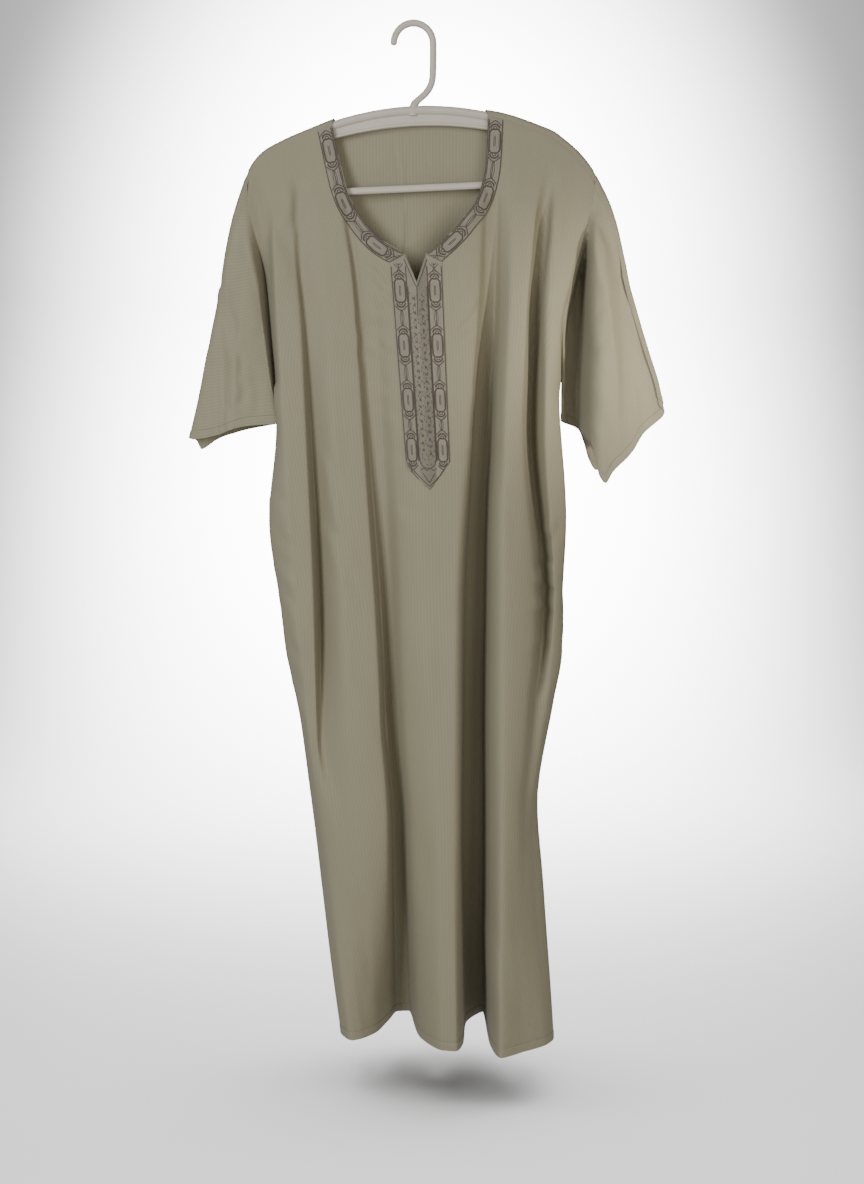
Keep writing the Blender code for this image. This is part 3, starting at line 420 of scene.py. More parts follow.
def section_point(nodes, place, z):
    """x and y of a panel at one place across it, for an array of heights."""
    x, y = nodes(z)
    places = front_place(place, z) if nodes is front_nodes else np.full(len(z), float(place))
    span = np.clip(places.astype(int), 0, len(x) - 2)
    found = []
    for values in (x.T, y.T):
        slopes = free_slopes(np.arange(len(x), dtype=float), values)
        row = np.arange(len(z))
        found.append(between(values[row, span], values[row, span + 1], slopes[row, span], slopes[row, span + 1],
                             places - span))
    return found


def below_ridge(x, z):
    """Distance below the ridge, square to it."""
    return (ridge(x) - z) / stretch(x)


def panel_point(nodes, side, place, z):
    """Points on a panel; side is -1 in front and 1 behind. Near the ridge the cloth turns over it."""
    z = np.atleast_1d(np.asarray(z, float))
    x, y = section_point(nodes, place, z)
    distance = below_ridge(x, z)
    rounded = np.sqrt(RIDGE_RADIUS ** 2 - np.clip(RIDGE_RADIUS - distance, 0.0, RIDGE_RADIUS) ** 2)
    settled = ease((distance - RIDGE_RADIUS) / SHOULDER_BLEND)
    return np.stack([x, side * rounded + settled * (y - side * RIDGE_RADIUS), z], axis=-1)


def place_of(nodes, x, z):
    """The place across a panel at which a height has this x."""
    low, high = 0.0, float(len(nodes(np.array([z]))[0]) - 1)
    for _ in range(30):
        middle = (low + high) / 2
        if section_point(nodes, middle, np.array([z]))[0][0] < x:
            low = middle
        else:
            high = middle
    return (low + high) / 2


# %% [markdown]
# ## The front
# The front is one panel with the round neck and the slit below it. Its points run in columns from the shoulder seam or
# the neckline down to the hem, closer together where the cloth turns. The columns are about 3 mm apart, fine enough
# for soft creases to be pushed into them later.

# %% Columns of the front
FINE = 9  # columns from one fold line to the next
ABOVE, BELOW = 46, 112  # rows above the armpit and below it
HEM_ROWS = np.array([26, 22, 18, 15, 12.5, 11.6, 10.8, 9, 6, 3, 0.8, 0.0])


def rows_from(top):
    """Heights of a column's points: closer at the shoulder and at the hem's fold."""
    above = (np.arange(ABOVE + 1) / ABOVE) ** 1.15
    last = HEM_Z + HEM_ROWS[0]
    below = np.arange(1, BELOW) / BELOW
    return np.concatenate([top + (ARMPIT_Z - top) * above, ARMPIT_Z + (last - ARMPIT_Z) * below, HEM_Z + HEM_ROWS])


def column_top(place):
    """Height at which a column of the front meets the shoulder seam."""
    heights = np.linspace(-100.0, -330.0, 461)
    above = heights - shoulder_seam(section_point(front_nodes, place, heights)[0])
    n = int(np.nonzero(above <= 0)[0][0])
    return float(heights[n] + 0.5 * above[n] / (above[n] - above[n - 1]))


def shoulder_columns(side):
    """Places and tops of one side's columns that start at the shoulder seam, from the armhole inwards."""
    edge, step = (0.0, 1) if side == "left" else (FRONT_END, -1)
    neck = place_of(front_nodes, NECK_X[side], float(shoulder_seam(NECK_X[side])))
    places = [edge + step * n / FINE for n in range(int((abs(neck - edge) - 0.05) * FINE) + 1)]
    shift = float(shoulder_seam(ARMHOLE_TOP_X[side])) - column_top(edge)
    return [(place, column_top(place) + shift * max(0.0, 1 - abs(place - edge) / 0.5)) for place in places]


def neck_run(side, step):
    """Points (x, z) of one half of the neckline, from the shoulder seam down."""
    edge = [(NECK_X[side], float(shoulder_seam(NECK_X[side])))]
    edge += [(row[1] if side == "left" else row[2], row[0]) for row in NECKLINE]
    edge = np.array(edge)
    along = run_places(edge)
    count = int(along[-1] / step)
    return smooth_curve(along, edge.T, np.linspace(0, along[-1], count + 1)).T


def front_columns():
    """Columns of the front panel, and how many on each side start at the shoulder."""
    left, right = shoulder_columns("left"), shoulder_columns("right")[::-1]
    left_neck, right_neck = neck_run("left", 5.0), neck_run("right", 5.0)
    notch, steps = np.array(NOTCH), (np.arange(1, 8) / 7)[:, None]
    edge = np.vstack([left_neck, left_neck[-1] + (notch - left_neck[-1]) * steps,
                      notch + (right_neck[-1] - notch) * steps, right_neck[-2::-1]])
    tops = left + [(place_of(front_nodes, x, z), z) for x, z in edge] + right
    columns = [panel_point(front_nodes, -1, place, rows_from(top)) for place, top in tops]
    return np.array(columns), len(left), len(right)


front_grid, LEFT_COLUMNS, RIGHT_COLUMNS = front_columns()
print("front", front_grid.shape, "lowest", front_grid[..., 2].min())

# %% [markdown]
# ## The back
# The back comes up over the hanger's arm to a seam that lies just in front of it. Its neck edge stays behind the arm,
# where the hanger hides it. The hidden back is guessed: three soft folds that hang from the shoulder blades.

# %% Columns of the back
TURN_ROWS, TURN_END = 30, 40.0
BACK_END = float(len(BACK_FOLDS) + 3)
# distance from the neck's corner, and how far over the ridge the back's neck edge lies there
NECK_ARC = ((0.0, -12.85), (0.7, -9.2), (1.5, -5.3), (2.3, -1.2), (3.2, 3.3), (4.2, 6.8), (5.2, 10.4), (6.6, 13.4),
            (11.0, 18.8), (22.0, 23.8), (45.0, 27.8), (72.0, 29.3), (120.0, 29.4))


def back_column(x, arc_top, edge_place=None):
    """A column of the back from an arc length over the ridge (0 on top, less in front) down to the hem."""
    top, pull = float(ridge(x)), float(stretch(x))
    place = edge_place
    if place is None:
        place = place_of(back_nodes, x, top - (SEAM_DROP + max(0.0, arc_top - SEAM_ARC)) * pull)
    arcs = arc_top + (TURN_END - arc_top) * np.arange(TURN_ROWS) / TURN_ROWS
    heights = top - (SEAM_DROP + arcs - SEAM_ARC) * pull
    start = panel_point(back_nodes, 1, place, heights)
    for n, arc in enumerate(arcs):
        if arc < SEAM_ARC:
            turn = arc / RIDGE_RADIUS
            start[n] = (x, RIDGE_RADIUS * math.sin(turn), top - RIDGE_RADIUS * (1 - math.cos(turn)) * pull)
    if edge_place is not None:
        drift = x - section_point(back_nodes, place, np.array([top - SEAM_DROP * pull]))[0][0]
        settle = 1 - ease((arcs - SEAM_ARC) / (TURN_END - SEAM_ARC))
        start[:, 0] += np.where(arcs < SEAM_ARC, 0.0, drift * settle)
    body = panel_point(back_nodes, 1, place, rows_from(top - (SEAM_DROP + TURN_END - SEAM_ARC) * pull))
    return np.vstack([start, body])


def back_columns(front):
    """Columns of the back: under the front's shoulder columns, and between them along the neck's hidden edge."""
    left, right = front[: LEFT_COLUMNS + 1, 0, 0], front[-RIGHT_COLUMNS - 1:, 0, 0]
    columns = [back_column(left[0], -SEAM_ARC, 0.0)] + [back_column(x, -SEAM_ARC) for x in left[1:]]
    width = right[0] - left[-1]
    inward = np.concatenate([np.arange(0.35, 8.0, 0.45), np.arange(8.5, 30, 2.2), np.arange(31, width / 2, 3.0)])
    arcs = smooth_curve([k[0] for k in NECK_ARC], [k[1] for k in NECK_ARC], inward)
    columns += [back_column(left[-1] + d, arc) for d, arc in zip(inward, arcs)]
    columns += [back_column(right[0] - d, arc) for d, arc in reversed(list(zip(inward, arcs)))]
    columns += [back_column(x, -SEAM_ARC) for x in right[:-1]] + [back_column(right[-1], -SEAM_ARC, BACK_END)]
    return np.array(columns)


back_grid = back_columns(front_grid)
print("back", back_grid.shape)

# %% [markdown]
# ## The sleeves
# A sleeve is a tube from the armhole to the cuff. Hanging, it lies almost flat: its top follows the ridge and its
# front and back layers hang from it. The right one swings forward and its underarm drops into a fold.

# %% Sleeve tables
# the cuff's edge as x, z, and the depths of the two layers as x, y
CUFFS = {
    "left": {
        "front": ((-302, -529), (-294, -530), (-263, -525), (-244, -518), (-224, -513), (-201, -511), (-182, -510)),
        "back": ((-302, -529), (-294, -532), (-287, -544), (-263, -529), (-225, -517), (-182, -510)),
        "front_y": ((-302, 0), (-285, -12), (-255, -22), (-222, -17), (-200, -15), (-190, -15), (-178, -14)),
        "back_y": ((-302, 0), (-285, 15), (-250, 30), (-215, 28), (-203, 20), (-193, 4), (-182, -11)),
    },
    "right": {
        "front": ((334, -483), (335, -489), (333, -498), (322, -509), (305, -523), (288, -548), (262, -573),
                  (252, -588), (244, -578), (239, -556), (229, -526), (220, -513), (197, -506)),
        "back": ((334, -483), (335, -488), (332, -496), (321, -507), (303, -521), (286, -545), (262, -567),
                 (250, -573), (240, -560), (232, -535), (225, -518), (197, -506)),
        "front_y": ((190, -14), (200, -2), (206, 31), (222, 35), (229, 4), (234, -34), (248, -42), (268, -38),
                    (300, -26), (334, 0)),
        "back_y": ((190, -6), (204, 34), (214, 42), (232, 42), (270, 34), (300, 22), (334, 0)),
    },
}
SLEEVE_ROWS = np.concatenate([np.linspace(0, 0.9, 50), np.linspace(0.9, 1, 15)[1:]])
print("cuffs", {side: len(cuff["front"]) for side, cuff in CUFFS.items()}, "points in front")

# %% Columns of a sleeve
def depth_of(table, x):
    """Depth of a sleeve's layer at some x."""
    table = sorted(table)
    return smooth_curve([k[0] for k in table], [k[1] for k in table], x)


def sleeve_top(start, degrees, side):
    """A sleeve's column that follows the ridge, turned this far over it."""
    x = np.linspace(ARMHOLE_TOP_X[side], CUFFS[side]["front"][0][0], 240)
    line = np.stack([x, ridge(x)], axis=-1)
    along = unit(np.gradient(line, axis=0))
    under = np.stack([along[:, 1], -along[:, 0]], axis=-1) * (-1 if side == "left" else 1)
    places = run_places(line)
    inset = RIDGE_RADIUS * (1 - math.cos(math.radians(degrees)))
    slope = math.sqrt(float(stretch(ARMHOLE_TOP_X[side])) ** 2 - 1)
    at = inset * slope + (places[-1] - inset * slope) * SLEEVE_ROWS
    point = [np.interp(at, places, line[:, k]) + inset * np.interp(at, places, under[:, k]) for k in (0, 1)]
    column = np.stack([point[0], np.full(len(at), RIDGE_RADIUS * math.sin(math.radians(degrees))), point[1]], axis=-1)
    fade = 1 - ease((at - at[0]) / 40.0)
    return column + (start - column[0]) * fade[:, None]


def sleeve_side(start, share, side, in_front):
    """A sleeve's column down its hanging front or back layer."""
    cuff = CUFFS[side]
    edge = np.array(cuff["front"] if in_front else cuff["back"], float)
    sign = -1 if in_front else 1
    lean, other = (cuff["front_y"], cuff["back_y"]) if in_front else (cuff["back_y"], cuff["front_y"])
    apart = 0.5 + 0.5 * math.sqrt(max(0.0, 1 - (max(0.0, share - 0.8) / 0.2) ** 2))
    places = run_places(edge)
    near = RIDGE_RADIUS / places[-1]
    end = smooth_curve(places, edge.T, (near + (1 - near) * share) * places[-1])
    run = sorted((z, x) for x, z in (LEFT_RIDGE if side == "left" else RIGHT_RIDGE))
    top = np.array([ARMHOLE_TOP_X[side], float(ridge(ARMHOLE_TOP_X[side]))])
    straight = top + (edge[0] - top) * SLEEVE_ROWS[:, None]
    bow = smooth_curve([k[0] for k in run], [k[1] for k in run], straight[:, 1]) - straight[:, 0]
    bow = bow - bow[0] * (1 - SLEEVE_ROWS)
    x = start[0] + (end[0] - start[0]) * SLEEVE_ROWS + bow * (1 - share) ** 2
    z = start[2] + (end[1] - start[2]) * SLEEVE_ROWS
    distance = np.maximum(RIDGE_RADIUS, below_ridge(x, z))
    settled = ease((distance - RIDGE_RADIUS) / 60.0)
    layer = depth_of(lean, x) * apart + depth_of(other, x) * (1 - apart)
    depth = sign * RIDGE_RADIUS * (1 - settled) + settled * layer
    own = ease(np.hypot(x - start[0], z - start[2]) / 22.0)
    return np.stack([x, start[1] * (1 - own) + depth * own, z], axis=-1)


def sleeve_columns(side):
    """Columns of a sleeve, all round from the front of the shoulder seam."""
    edge = 0 if side == "left" else -1
    front_ring = front_grid[edge, : ABOVE + 1]
    back_ring = back_grid[edge, ABOVE + TURN_ROWS - 1: 0: -1]
    seam_z, armpit_z = front_ring[0, 2], front_ring[-1, 2]
    columns = []
    for n, start in enumerate(front_ring):
        share = (start[2] - seam_z) / (armpit_z - seam_z)
        columns.append(sleeve_side(start, share, side, True) if n else sleeve_top(start, -SEAM_DEGREES, side))
    for n, start in enumerate(back_ring):
        row = ABOVE + TURN_ROWS - 1 - n
        arc = -SEAM_ARC + (TURN_END + SEAM_ARC) * row / TURN_ROWS
        share = (start[2] - seam_z) / (armpit_z - seam_z)
        if arc < SEAM_ARC:
            columns.append(sleeve_top(start, math.degrees(arc / RIDGE_RADIUS), side))
        else:
            columns.append(sleeve_side(start, max(share, 0.0), side, False))
    return np.array(columns)


sleeve_grids = {side: sleeve_columns(side) for side in ("left", "right")}
print("sleeves", {side: grid.shape for side, grid in sleeve_grids.items()})

# %% [markdown]
# ## Creases, hems and seams
# Long folds are only half of how cloth looks. Small creases come from how the robe was stored and where it is pulled,
# and each is given one by one: where it starts and ends, how wide it is and how deep. A crease is a shallow trough
# with a soft ridge beside it. A hem is two layers, so it stands a little proud with a dip where it is stitched, and
# cloth pinches in along a seam.

# %% Crease tables
# x and z of its start and end, width, depth; a depth below 0 bends the other way
FRONT_CREASES = (
    (-113, -548, -103, -605, 5, 2.3), (-104, -600, -96, -640, 5, 2.0), (-112, -640, -92, -690, 7, 2.2),
    (-98, -665, -84, -700, 5, -1.6), (-100, -700, -78, -715, 5, 1.4), (-92, -718, -70, -742, 5, 1.3),
    (-190, -600, -150, -640, 7, 1.9), (-186, -650, -150, -672, 6, -1.7), (-184, -690, -146, -720, 7, 1.9),
    (-176, -730, -150, -770, 6, 1.7), (-172, -790, -148, -820, 6, -1.4), (-165, -840, -142, -900, 7, 1.7),
    (-30, -384, -78, -372, 9, 1.7), (-34, -430, -92, -404, 10, 1.6), (-24, -470, -60, -452, 8, -1.2),
    (52, -400, 82, -380, 8, 1.4), (58, -470, 78, -455, 8, 1.2), (-20, -610, 10, -640, 10, 1.2),
    (198, -640, 168, -668, 6, 2.2), (194, -690, 160, -700, 6, -2.0), (196, -730, 158, -722, 6, 2.2),
    (190, -760, 156, -760, 7, 1.9), (186, -800, 158, -812, 6, 1.4), (182, -850, 156, -880, 8, -1.4),
    (-178, -250, -150, -330, 10, 1.4), (168, -230, 176, -330, 10, 1.7), (-140, -330, -120, -440, 12, 1.3),
    (-90, -500, -96, -600, 12, 1.2), (30, -760, 36, -900, 14, 1.3), (-60, -860, -40, -960, 12, 1.3),
    (120, -560, 128, -700, 12, 1.3), (-112, -980, -96, -1080, 10, 1.3), (6, -1050, 22, -1180, 14, 1.2),
    (150, -980, 158, -1100, 12, 1.4), (-80, -1200, -60, -1290, 9, 1.3), (110, -1180, 124, -1280, 10, 1.2),
    (176, -196, 159, -440, 10, -6.0),
    (-59, -298, -29, -335, 5, 2.0), (-50, -335, -26, -358, 5, 1.7), (-52, -400, -18, -422, 6, -1.4),
    (90, -345, 46, -402, 4, 1.3), (112, -214, 163, -224, 4, 1.2), (-54, -486, -14, -500, 7, 1.6),
    (-56, -556, -6, -548, 9, 1.3), (54, -530, 80, -520, 7, 1.0), (-152, -196, -160, -260, 7, 2.3),
)
BACK_CREASES = (
    (-150, -240, -110, -330, 12, 1.3), (-60, -260, -84, -380, 12, 1.1), (70, -250, 96, -380, 12, 1.2),
    (150, -240, 120, -340, 12, 1.2), (-140, -520, -110, -600, 9, 1.2), (-40, -560, 0, -620, 10, 1.0),
    (40, -640, 84, -690, 10, 1.1), (110, -560, 150, -600, 9, 1.0), (-130, -760, -90, -840, 10, 1.1),
    (10, -800, 50, -860, 10, 1.0), (120, -820, 140, -930, 12, 1.0), (-90, -980, -60, -1090, 12, 1.1),
    (30, -1020, 60, -1120, 12, 0.9), (110, -1080, 140, -1190, 12, 1.0), (-60, -1180, -30, -1270, 10, 1.0),
    (-188, -690, -150, -710, 6, 1.1), (196, -660, 160, -680, 6, 1.1), (-176, -760, -146, -790, 6, 1.1),
    (194, -740, 160, -752, 6, -1.1), (-22, -130, -12, -330, 2.6, 1.7), (-12, -330, -8, -620, 3.0, 1.2),
    (-20, -190, 26, -206, 4, 0.8),
)
SLEEVE_CREASES = {
    "left": ((-258, -322, -246, -360, 5, 2.2), (-247, -360, -238, -402, 6, 2.6), (-238, -402, -229, -452, 6, 2.2),
             (-229, -452, -229, -486, 6, 1.6), (-268, -400, -262, -450, 10, 0.9), (-236, -268, -222, -300, 6, -1.2),
             (-206, -330, -200, -400, 7, 1.4), (-250, -480, -244, -512, 5, 1.2), (-215, -430, -208, -500, 7, 1.0)),
    "right": ((222, -196, 240, -246, 6, 2.2), (238, -246, 262, -300, 7, 2.4), (232, -330, 250, -322, 6, -1.4),
              (236, -366, 262, -356, 7, 1.6), (232, -420, 256, -402, 7, 1.5), (262, -300, 284, -352, 9, 1.4),
              (280, -400, 300, -440, 9, 1.2), (256, -450, 270, -520, 9, 1.3), (226, -280, 230, -420, 6, -1.8),
              (290, -440, 306, -500, 8, 1.0), (244, -500, 254, -560, 6, 1.4)),
}


print(len(FRONT_CREASES), "creases in front,", len(BACK_CREASES), "behind")

# %% Creases, unrest, hems and seams
def creases(grid, table):
    """How far each point is pushed in by a table of creases, in mm."""
    x, z = grid[..., 0], grid[..., 2]
    depth = np.zeros(x.shape)
    for x0, z0, x1, z1, width, height in table:
        length = math.hypot(x1 - x0, z1 - z0)
        ux, uz = (x1 - x0) / length, (z1 - z0) / length
        along = ((x - x0) * ux + (z - z0) * uz) / length
        bend = min(0.12 * length, 5.0) * np.sin(np.clip(along, 0, 1) * math.pi) * (1 if height > 0 else -1)
        across = (x - x0) * uz - (z - z0) * ux + bend
        fade = ease(np.minimum(along + 0.15, 1.15 - along) / 0.5)
        beside = (across - math.copysign(1.7, height) * width) / (1.2 * width)
        depth += abs(height) * fade * (np.exp(-(across / width) ** 2) - 0.75 * np.exp(-beside ** 2))
    return depth


def unrest(grid, size):
    """The slight unevenness that any hung cloth has, in mm."""
    x, z = grid[..., 0], grid[..., 2]
    return size * (0.5 * np.sin(x / 31 + z / 140 + 0.7) + 0.35 * np.sin(x / 17 - z / 83 + 2.1)
                   + 0.3 * np.sin(x / 47 + z / 46 + 4.0) + 0.22 * np.sin(x / 11 + z / 190 + 1.3))


def pinch(distance, depth=0.8, width=3.0):
    """How far cloth is drawn in beside a seam."""
    return depth * np.exp(-(distance / width) ** 2)


def hem(distance, width):
    """A turned-up hem: proud by one layer, with a dip at its row of stitches. Positive is pushed in."""
    return -0.45 * ease((width + 0.6 - distance) / 1.6) + 0.5 * np.exp(-((distance - width) / 0.9) ** 2)


# %% [markdown]
# ## Walls of cloth
# Each grid of points becomes a thin closed wall, so the cloth has an inside and a real edge wherever it ends. The wall
# keeps measured coordinates for the weave: how far a point is across the cloth and how far it is from the hem.

# %% From grids to pieces
CLOTH, HEM = 0.7, 12.0  # thickness of the cloth, width of its hems


def normals_of(grid, closed=False):
    """Unit directions square to a grid indexed [column, row]."""
    if closed:
        across = np.roll(grid, -1, axis=0) - np.roll(grid, 1, axis=0)
    else:
        across = np.gradient(grid, axis=0)
    return unit(np.cross(across, np.gradient(grid, axis=1)))


def distance_down(grid):
    """Distance of each point from the start of its column."""
    steps = np.linalg.norm(np.diff(grid, axis=1), axis=-1)
    return np.concatenate([np.zeros((len(grid), 1)), np.cumsum(steps, axis=1)], axis=1)


def distance_across(grid):
    """Distance of each point from the first column, along its row."""
    return distance_down(grid.transpose(1, 0, 2)).T


def mesh_piece(name, points, faces, uv, material, sharp=50):
    """A mesh piece in place, its faces pointing outwards, with measured coordinates and a finish."""
    mesh = bpy.data.meshes.new(name)
    mesh.from_pydata((np.asarray(points) * MM).tolist(), [], faces)
    mesh.validate()
    piece = bpy.data.objects.new(name, mesh)
    bpy.context.scene.collection.objects.link(piece)
    corner = np.empty(len(mesh.loops), np.int32)
    mesh.loops.foreach_get("vertex_index", corner)
    layer = mesh.uv_layers.new(name="cloth")
    layer.data.foreach_set("uv", (np.asarray(uv) * MM)[corner].ravel())
    bpy.ops.object.select_all(action="DESELECT")
    bpy.context.view_layer.objects.active = piece
    piece.select_set(True)
    bpy.ops.object.mode_set(mode="EDIT")
    bpy.ops.mesh.select_all(action="SELECT")
    bpy.ops.mesh.normals_make_consistent(inside=False)
    bpy.ops.object.mode_set(mode="OBJECT")
    mesh.shade_smooth()
    mesh.set_sharp_from_angle(angle=math.radians(sharp))
    mesh.materials.append(material)
    piece.select_set(False)
    return piece


def grid_faces(first, columns, rows, closed=False, round_rows=False):
    """Four-cornered faces between the points of a grid, which may close on itself either way."""
    index = np.arange(columns * rows).reshape(columns, rows) + first
    if closed:
        index = np.vstack([index, index[:1]])
    if round_rows:
        index = np.hstack([index, index[:, :1]])
    return np.stack([index[:-1, :-1], index[:-1, 1:], index[1:, 1:], index[1:, :-1]], -1).reshape(-1, 4), index


def rod_faces(first, rings, size):
    """Faces of a rod made of rings, with both ends filled."""
    sides, index = grid_faces(first, rings, size, round_rows=True)
    return sides.tolist() + [index[0, size - 1::-1].tolist(), index[-1, :size].tolist()]


def wall_faces(columns, rows, closed):
    """Faces of a wall whose outer points come first and whose inner points follow."""
    offset = columns * rows
    outer, index = grid_faces(0, columns, rows, closed)
    rims = [(index[:-1, 0], index[1:, 0]), (index[1:, -1], index[:-1, -1])]
    if not closed:
        rims += [(index[0, 1:], index[0, :-1]), (index[-1, :-1], index[-1, 1:])]
    rims = [np.stack([p, q, q + offset, p + offset], -1) for p, q in rims]
    return np.vstack([outer, outer[:, ::-1] + offset, *rims]).tolist()


def wall_piece(name, grid, normal, uv, thick, material, closed=False):
    """A wall with its outer face on the grid."""
    points = np.concatenate([grid.reshape(-1, 3), (grid - normal * thick).reshape(-1, 3)])
    both = np.concatenate([uv.reshape(-1, 2)] * 2)
    return mesh_piece(name, points, wall_faces(*grid.shape[:2], closed), both, material)


# %% Shape and build the front and back
def finished(grid, sign, table, size, edges, closed=False):
    """A grid with its creases, hem and seams pushed in, its final normals and its distances from the hem."""
    down = distance_down(grid)
    from_hem = down[:, -1:] - down
    calm = 1.0 if closed else 0.4 + 0.6 * ease(from_hem / 6)
    push = (creases(grid, table) + unrest(grid, size)) * ease(edges / 9.0) * calm + pinch(edges) + hem(from_hem, HEM)
    grid = grid - sign * normals_of(grid, closed) * push[..., None]
    return grid, sign * normals_of(grid, closed), from_hem


def seam_distance(grid):
    """Distance from the nearest seam: the side columns and the tops of the shoulder's columns."""
    across, down = distance_across(grid), distance_down(grid)
    edges = np.minimum(across, across[-1:] - across)
    for columns in (slice(0, LEFT_COLUMNS + 1), slice(-RIGHT_COLUMNS - 1, None)):
        edges[columns] = np.minimum(edges[columns], down[columns])
    return edges


cloths, shaped = {}, {}
for name, grid, rows, sign, table, size in (("front", front_grid, ABOVE, -1, FRONT_CREASES, 0.9),
                                            ("back", back_grid, ABOVE + TURN_ROWS, 1, BACK_CREASES, 1.0)):
    edges = seam_distance(grid)
    # the side seams part a little at the pockets
    for edge, inner, side in ((0, 3, "left"), (-1, -4, "right")):
        slit = pocket(side, grid[edge, rows:, 2])[0] + 0.2
        grid[edge, rows:] += unit(grid[inner, rows:] - grid[edge, rows:]) * slit[:, None]
    shape, normal, from_hem = shaped[name] = finished(grid, sign, table, size, edges)
    across = distance_across(grid)
    uv = np.stack([across - across[len(grid) // 2], from_hem], axis=-1)
    cloths[name] = wall_piece(name + "_cloth", shape, normal, uv, CLOTH, cloth)
    print(name, "faces", len(cloths[name].data.polygons))

# %% Shape and build the sleeves
for side, sign in (("left", -1), ("right", 1)):
    # the armhole end is tucked in behind the panels' edges, further in towards the armpit
    grid = sleeve_grids[side]
    around = unit(np.roll(grid[:, 0], -1, axis=0) - np.roll(grid[:, 0], 1, axis=0))
    outward = grid[:, 2] - grid[:, 0]
    outward -= around * np.sum(outward * around, axis=-1, keepdims=True)
    tucked = 1.2 + 2.6 * np.clip((-330.0 - grid[:, 0, 2]) / 120.0, 0, 1)
    grid[:, 0] -= unit(outward) * tucked[:, None]
    down = distance_down(grid)
    shape, normal, from_cuff = shaped[side] = finished(grid, sign, SLEEVE_CREASES[side], 0.7, down, True)
    around = distance_across(np.vstack([grid, grid[:1]]))[:-1]
    uv = np.stack([from_cuff, around], axis=-1)
    cloths[side] = wall_piece("sleeve_" + side + "_cloth", shape, normal, uv, CLOTH, cloth, True)
    print("sleeve", side, len(cloths[side].data.polygons))

# %% [markdown]
# ## Trims
# Two embroidered bands follow the neckline and a pointed placket covers the slit. They lie on the front, so each is
# laid on it by dropping a line from the front at every point of its outline.

# %% Lay a trim on the cloth
def surface_of(piece):
    """A function that finds the point and direction of a piece's surface, seen from the front at (x, z)."""
    tree = BVHTree.FromPolygons([v.co for v in piece.data.vertices], [p.vertices for p in piece.data.polygons])

    def find(x, z):
        found, normal, _, _ = tree.ray_cast(Vector((x * MM, -0.3, z * MM)), Vector((0, 1, 0)))
        if found is None:
            found, normal, _, _ = tree.find_nearest(Vector((x * MM, -0.02, z * MM)))
        return np.array(found) / MM, np.array(normal if normal.y < 0 else -normal)

    return find


# %% Outlines of the trims
TRIM_WIDTH = 20.0
# share of the way across, x and z at the top, x and z at the foot
PLACKET_EDGES = ((0.0, -31, -301.5, -10, -567), (0.16, -21, -296.5, 0, -576), (0.29, -11.5, -291.5, 10, -585),
                 (0.51, 4, -327, 21, -596), (0.70, 16.5, -291.5, 30.5, -583), (0.85, 27, -296.5, 39, -571),
                 (1.0, 37, -301.5, 48, -558))


def placket_outline():
    """(x, z) of the placket's grid, its columns gathered at the slit."""
    table = np.array(PLACKET_EDGES, float)
    spans = ((0, 0.29, 9), (0.29, 0.51, 8), (0.51, 0.70, 8), (0.70, 1, 9))
    places = np.concatenate([[0.0], *(np.linspace(*span)[1:] for span in spans)])
    ends = np.array([[np.interp(p, table[:, 0], table[:, k]) for k in (1, 2, 3, 4)] for p in places])
    share = np.linspace(0, 1, 91)[None, :, None]
    return ends[:, None, :2] * (1 - share) + ends[:, None, 2:] * share


def band_edges(side):
    """Inner and outer edge of a neck band, from the shoulder seam to the placket."""
    sign = -1 if side == "left" else 1
    inner = neck_run(side, 4.0)
    inner[0] += (sign * 0.4, -1.2)
    direction = unit(np.gradient(inner, axis=0))
    outer = inner + np.stack([direction[:, 1], -direction[:, 0]], axis=-1) * -sign * TRIM_WIDTH
    low = float(shoulder_seam(outer[0, 0])) - 1.2
    outer[:, 1] = np.minimum(outer[:, 1], low - 0.4 * np.arange(len(outer)))
    outer[0] = (inner[0, 0] + sign * TRIM_WIDTH, low)
    corner = np.array(PLACKET_EDGES[0 if side == "left" else -1][1:3]) + (0, 0.9)
    last = np.array([-12.0 if side == "left" else 17.0, -290.4])
    blend = ease((np.arange(len(inner)) - len(inner) + 6) / 5.0)[:, None]
    outer = outer * (1 - blend) + (corner + (outer - outer[-1]) * 0.6) * blend
    return np.vstack([inner, last]), np.vstack([outer, corner])


def lay(outline, find, lift):
    """The outline's points on the surface, raised by the lift."""
    found = [[find(x, z) for x, z in column] for column in outline]
    points = np.array([[f[0] for f in column] for column in found])
    normal = np.array([[f[1] for f in column] for column in found])
    normal = unit(normal + 0.5 * (np.roll(normal, 1, 1) + np.roll(normal, -1, 1)))
    return points + normal * lift


def trim_piece(name, outline, find):
    """A flat trim 1 mm thick, a hair off the cloth."""
    points = lay(outline, find, 1.25)
    normal = normals_of(points)
    normal *= -np.sign(normal[..., 1].mean())
    across, down = distance_across(points), distance_down(points)
    edge = np.minimum(across, across[-1:] - across)
    points = points - normal * (0.35 * np.exp(-(edge / 1.2) ** 2))[..., None]
    return wall_piece(name, points, normal, np.stack([across, down], axis=-1), 0.95, ground)


on_front = surface_of(cloths["front"])
bands, trims = {}, {}
for side in ("left", "right"):
    inner, outer = band_edges(side)
    bands[side] = (inner, outer)
    steps = np.linspace(0, 1, 9)[:, None, None]
    trims[side] = trim_piece("neck_trim_" + side, inner * (1 - steps) + outer * steps, on_front)
placket = trim_piece("placket_trim", placket_outline(), on_front)
print("trims", [len(p.data.polygons) for p in (*trims.values(), placket)])

# %% [markdown]
# ## Embroidery
# The pattern is a traditional chain: long links with a small ring at each end, and slim leaves between them. It is
# drawn once in the band's own coordinates, millimetres across and along, and then carried onto each band. Each line of
# stitches is a low rounded cord that stands on the trim, and the filled parts are low pads.

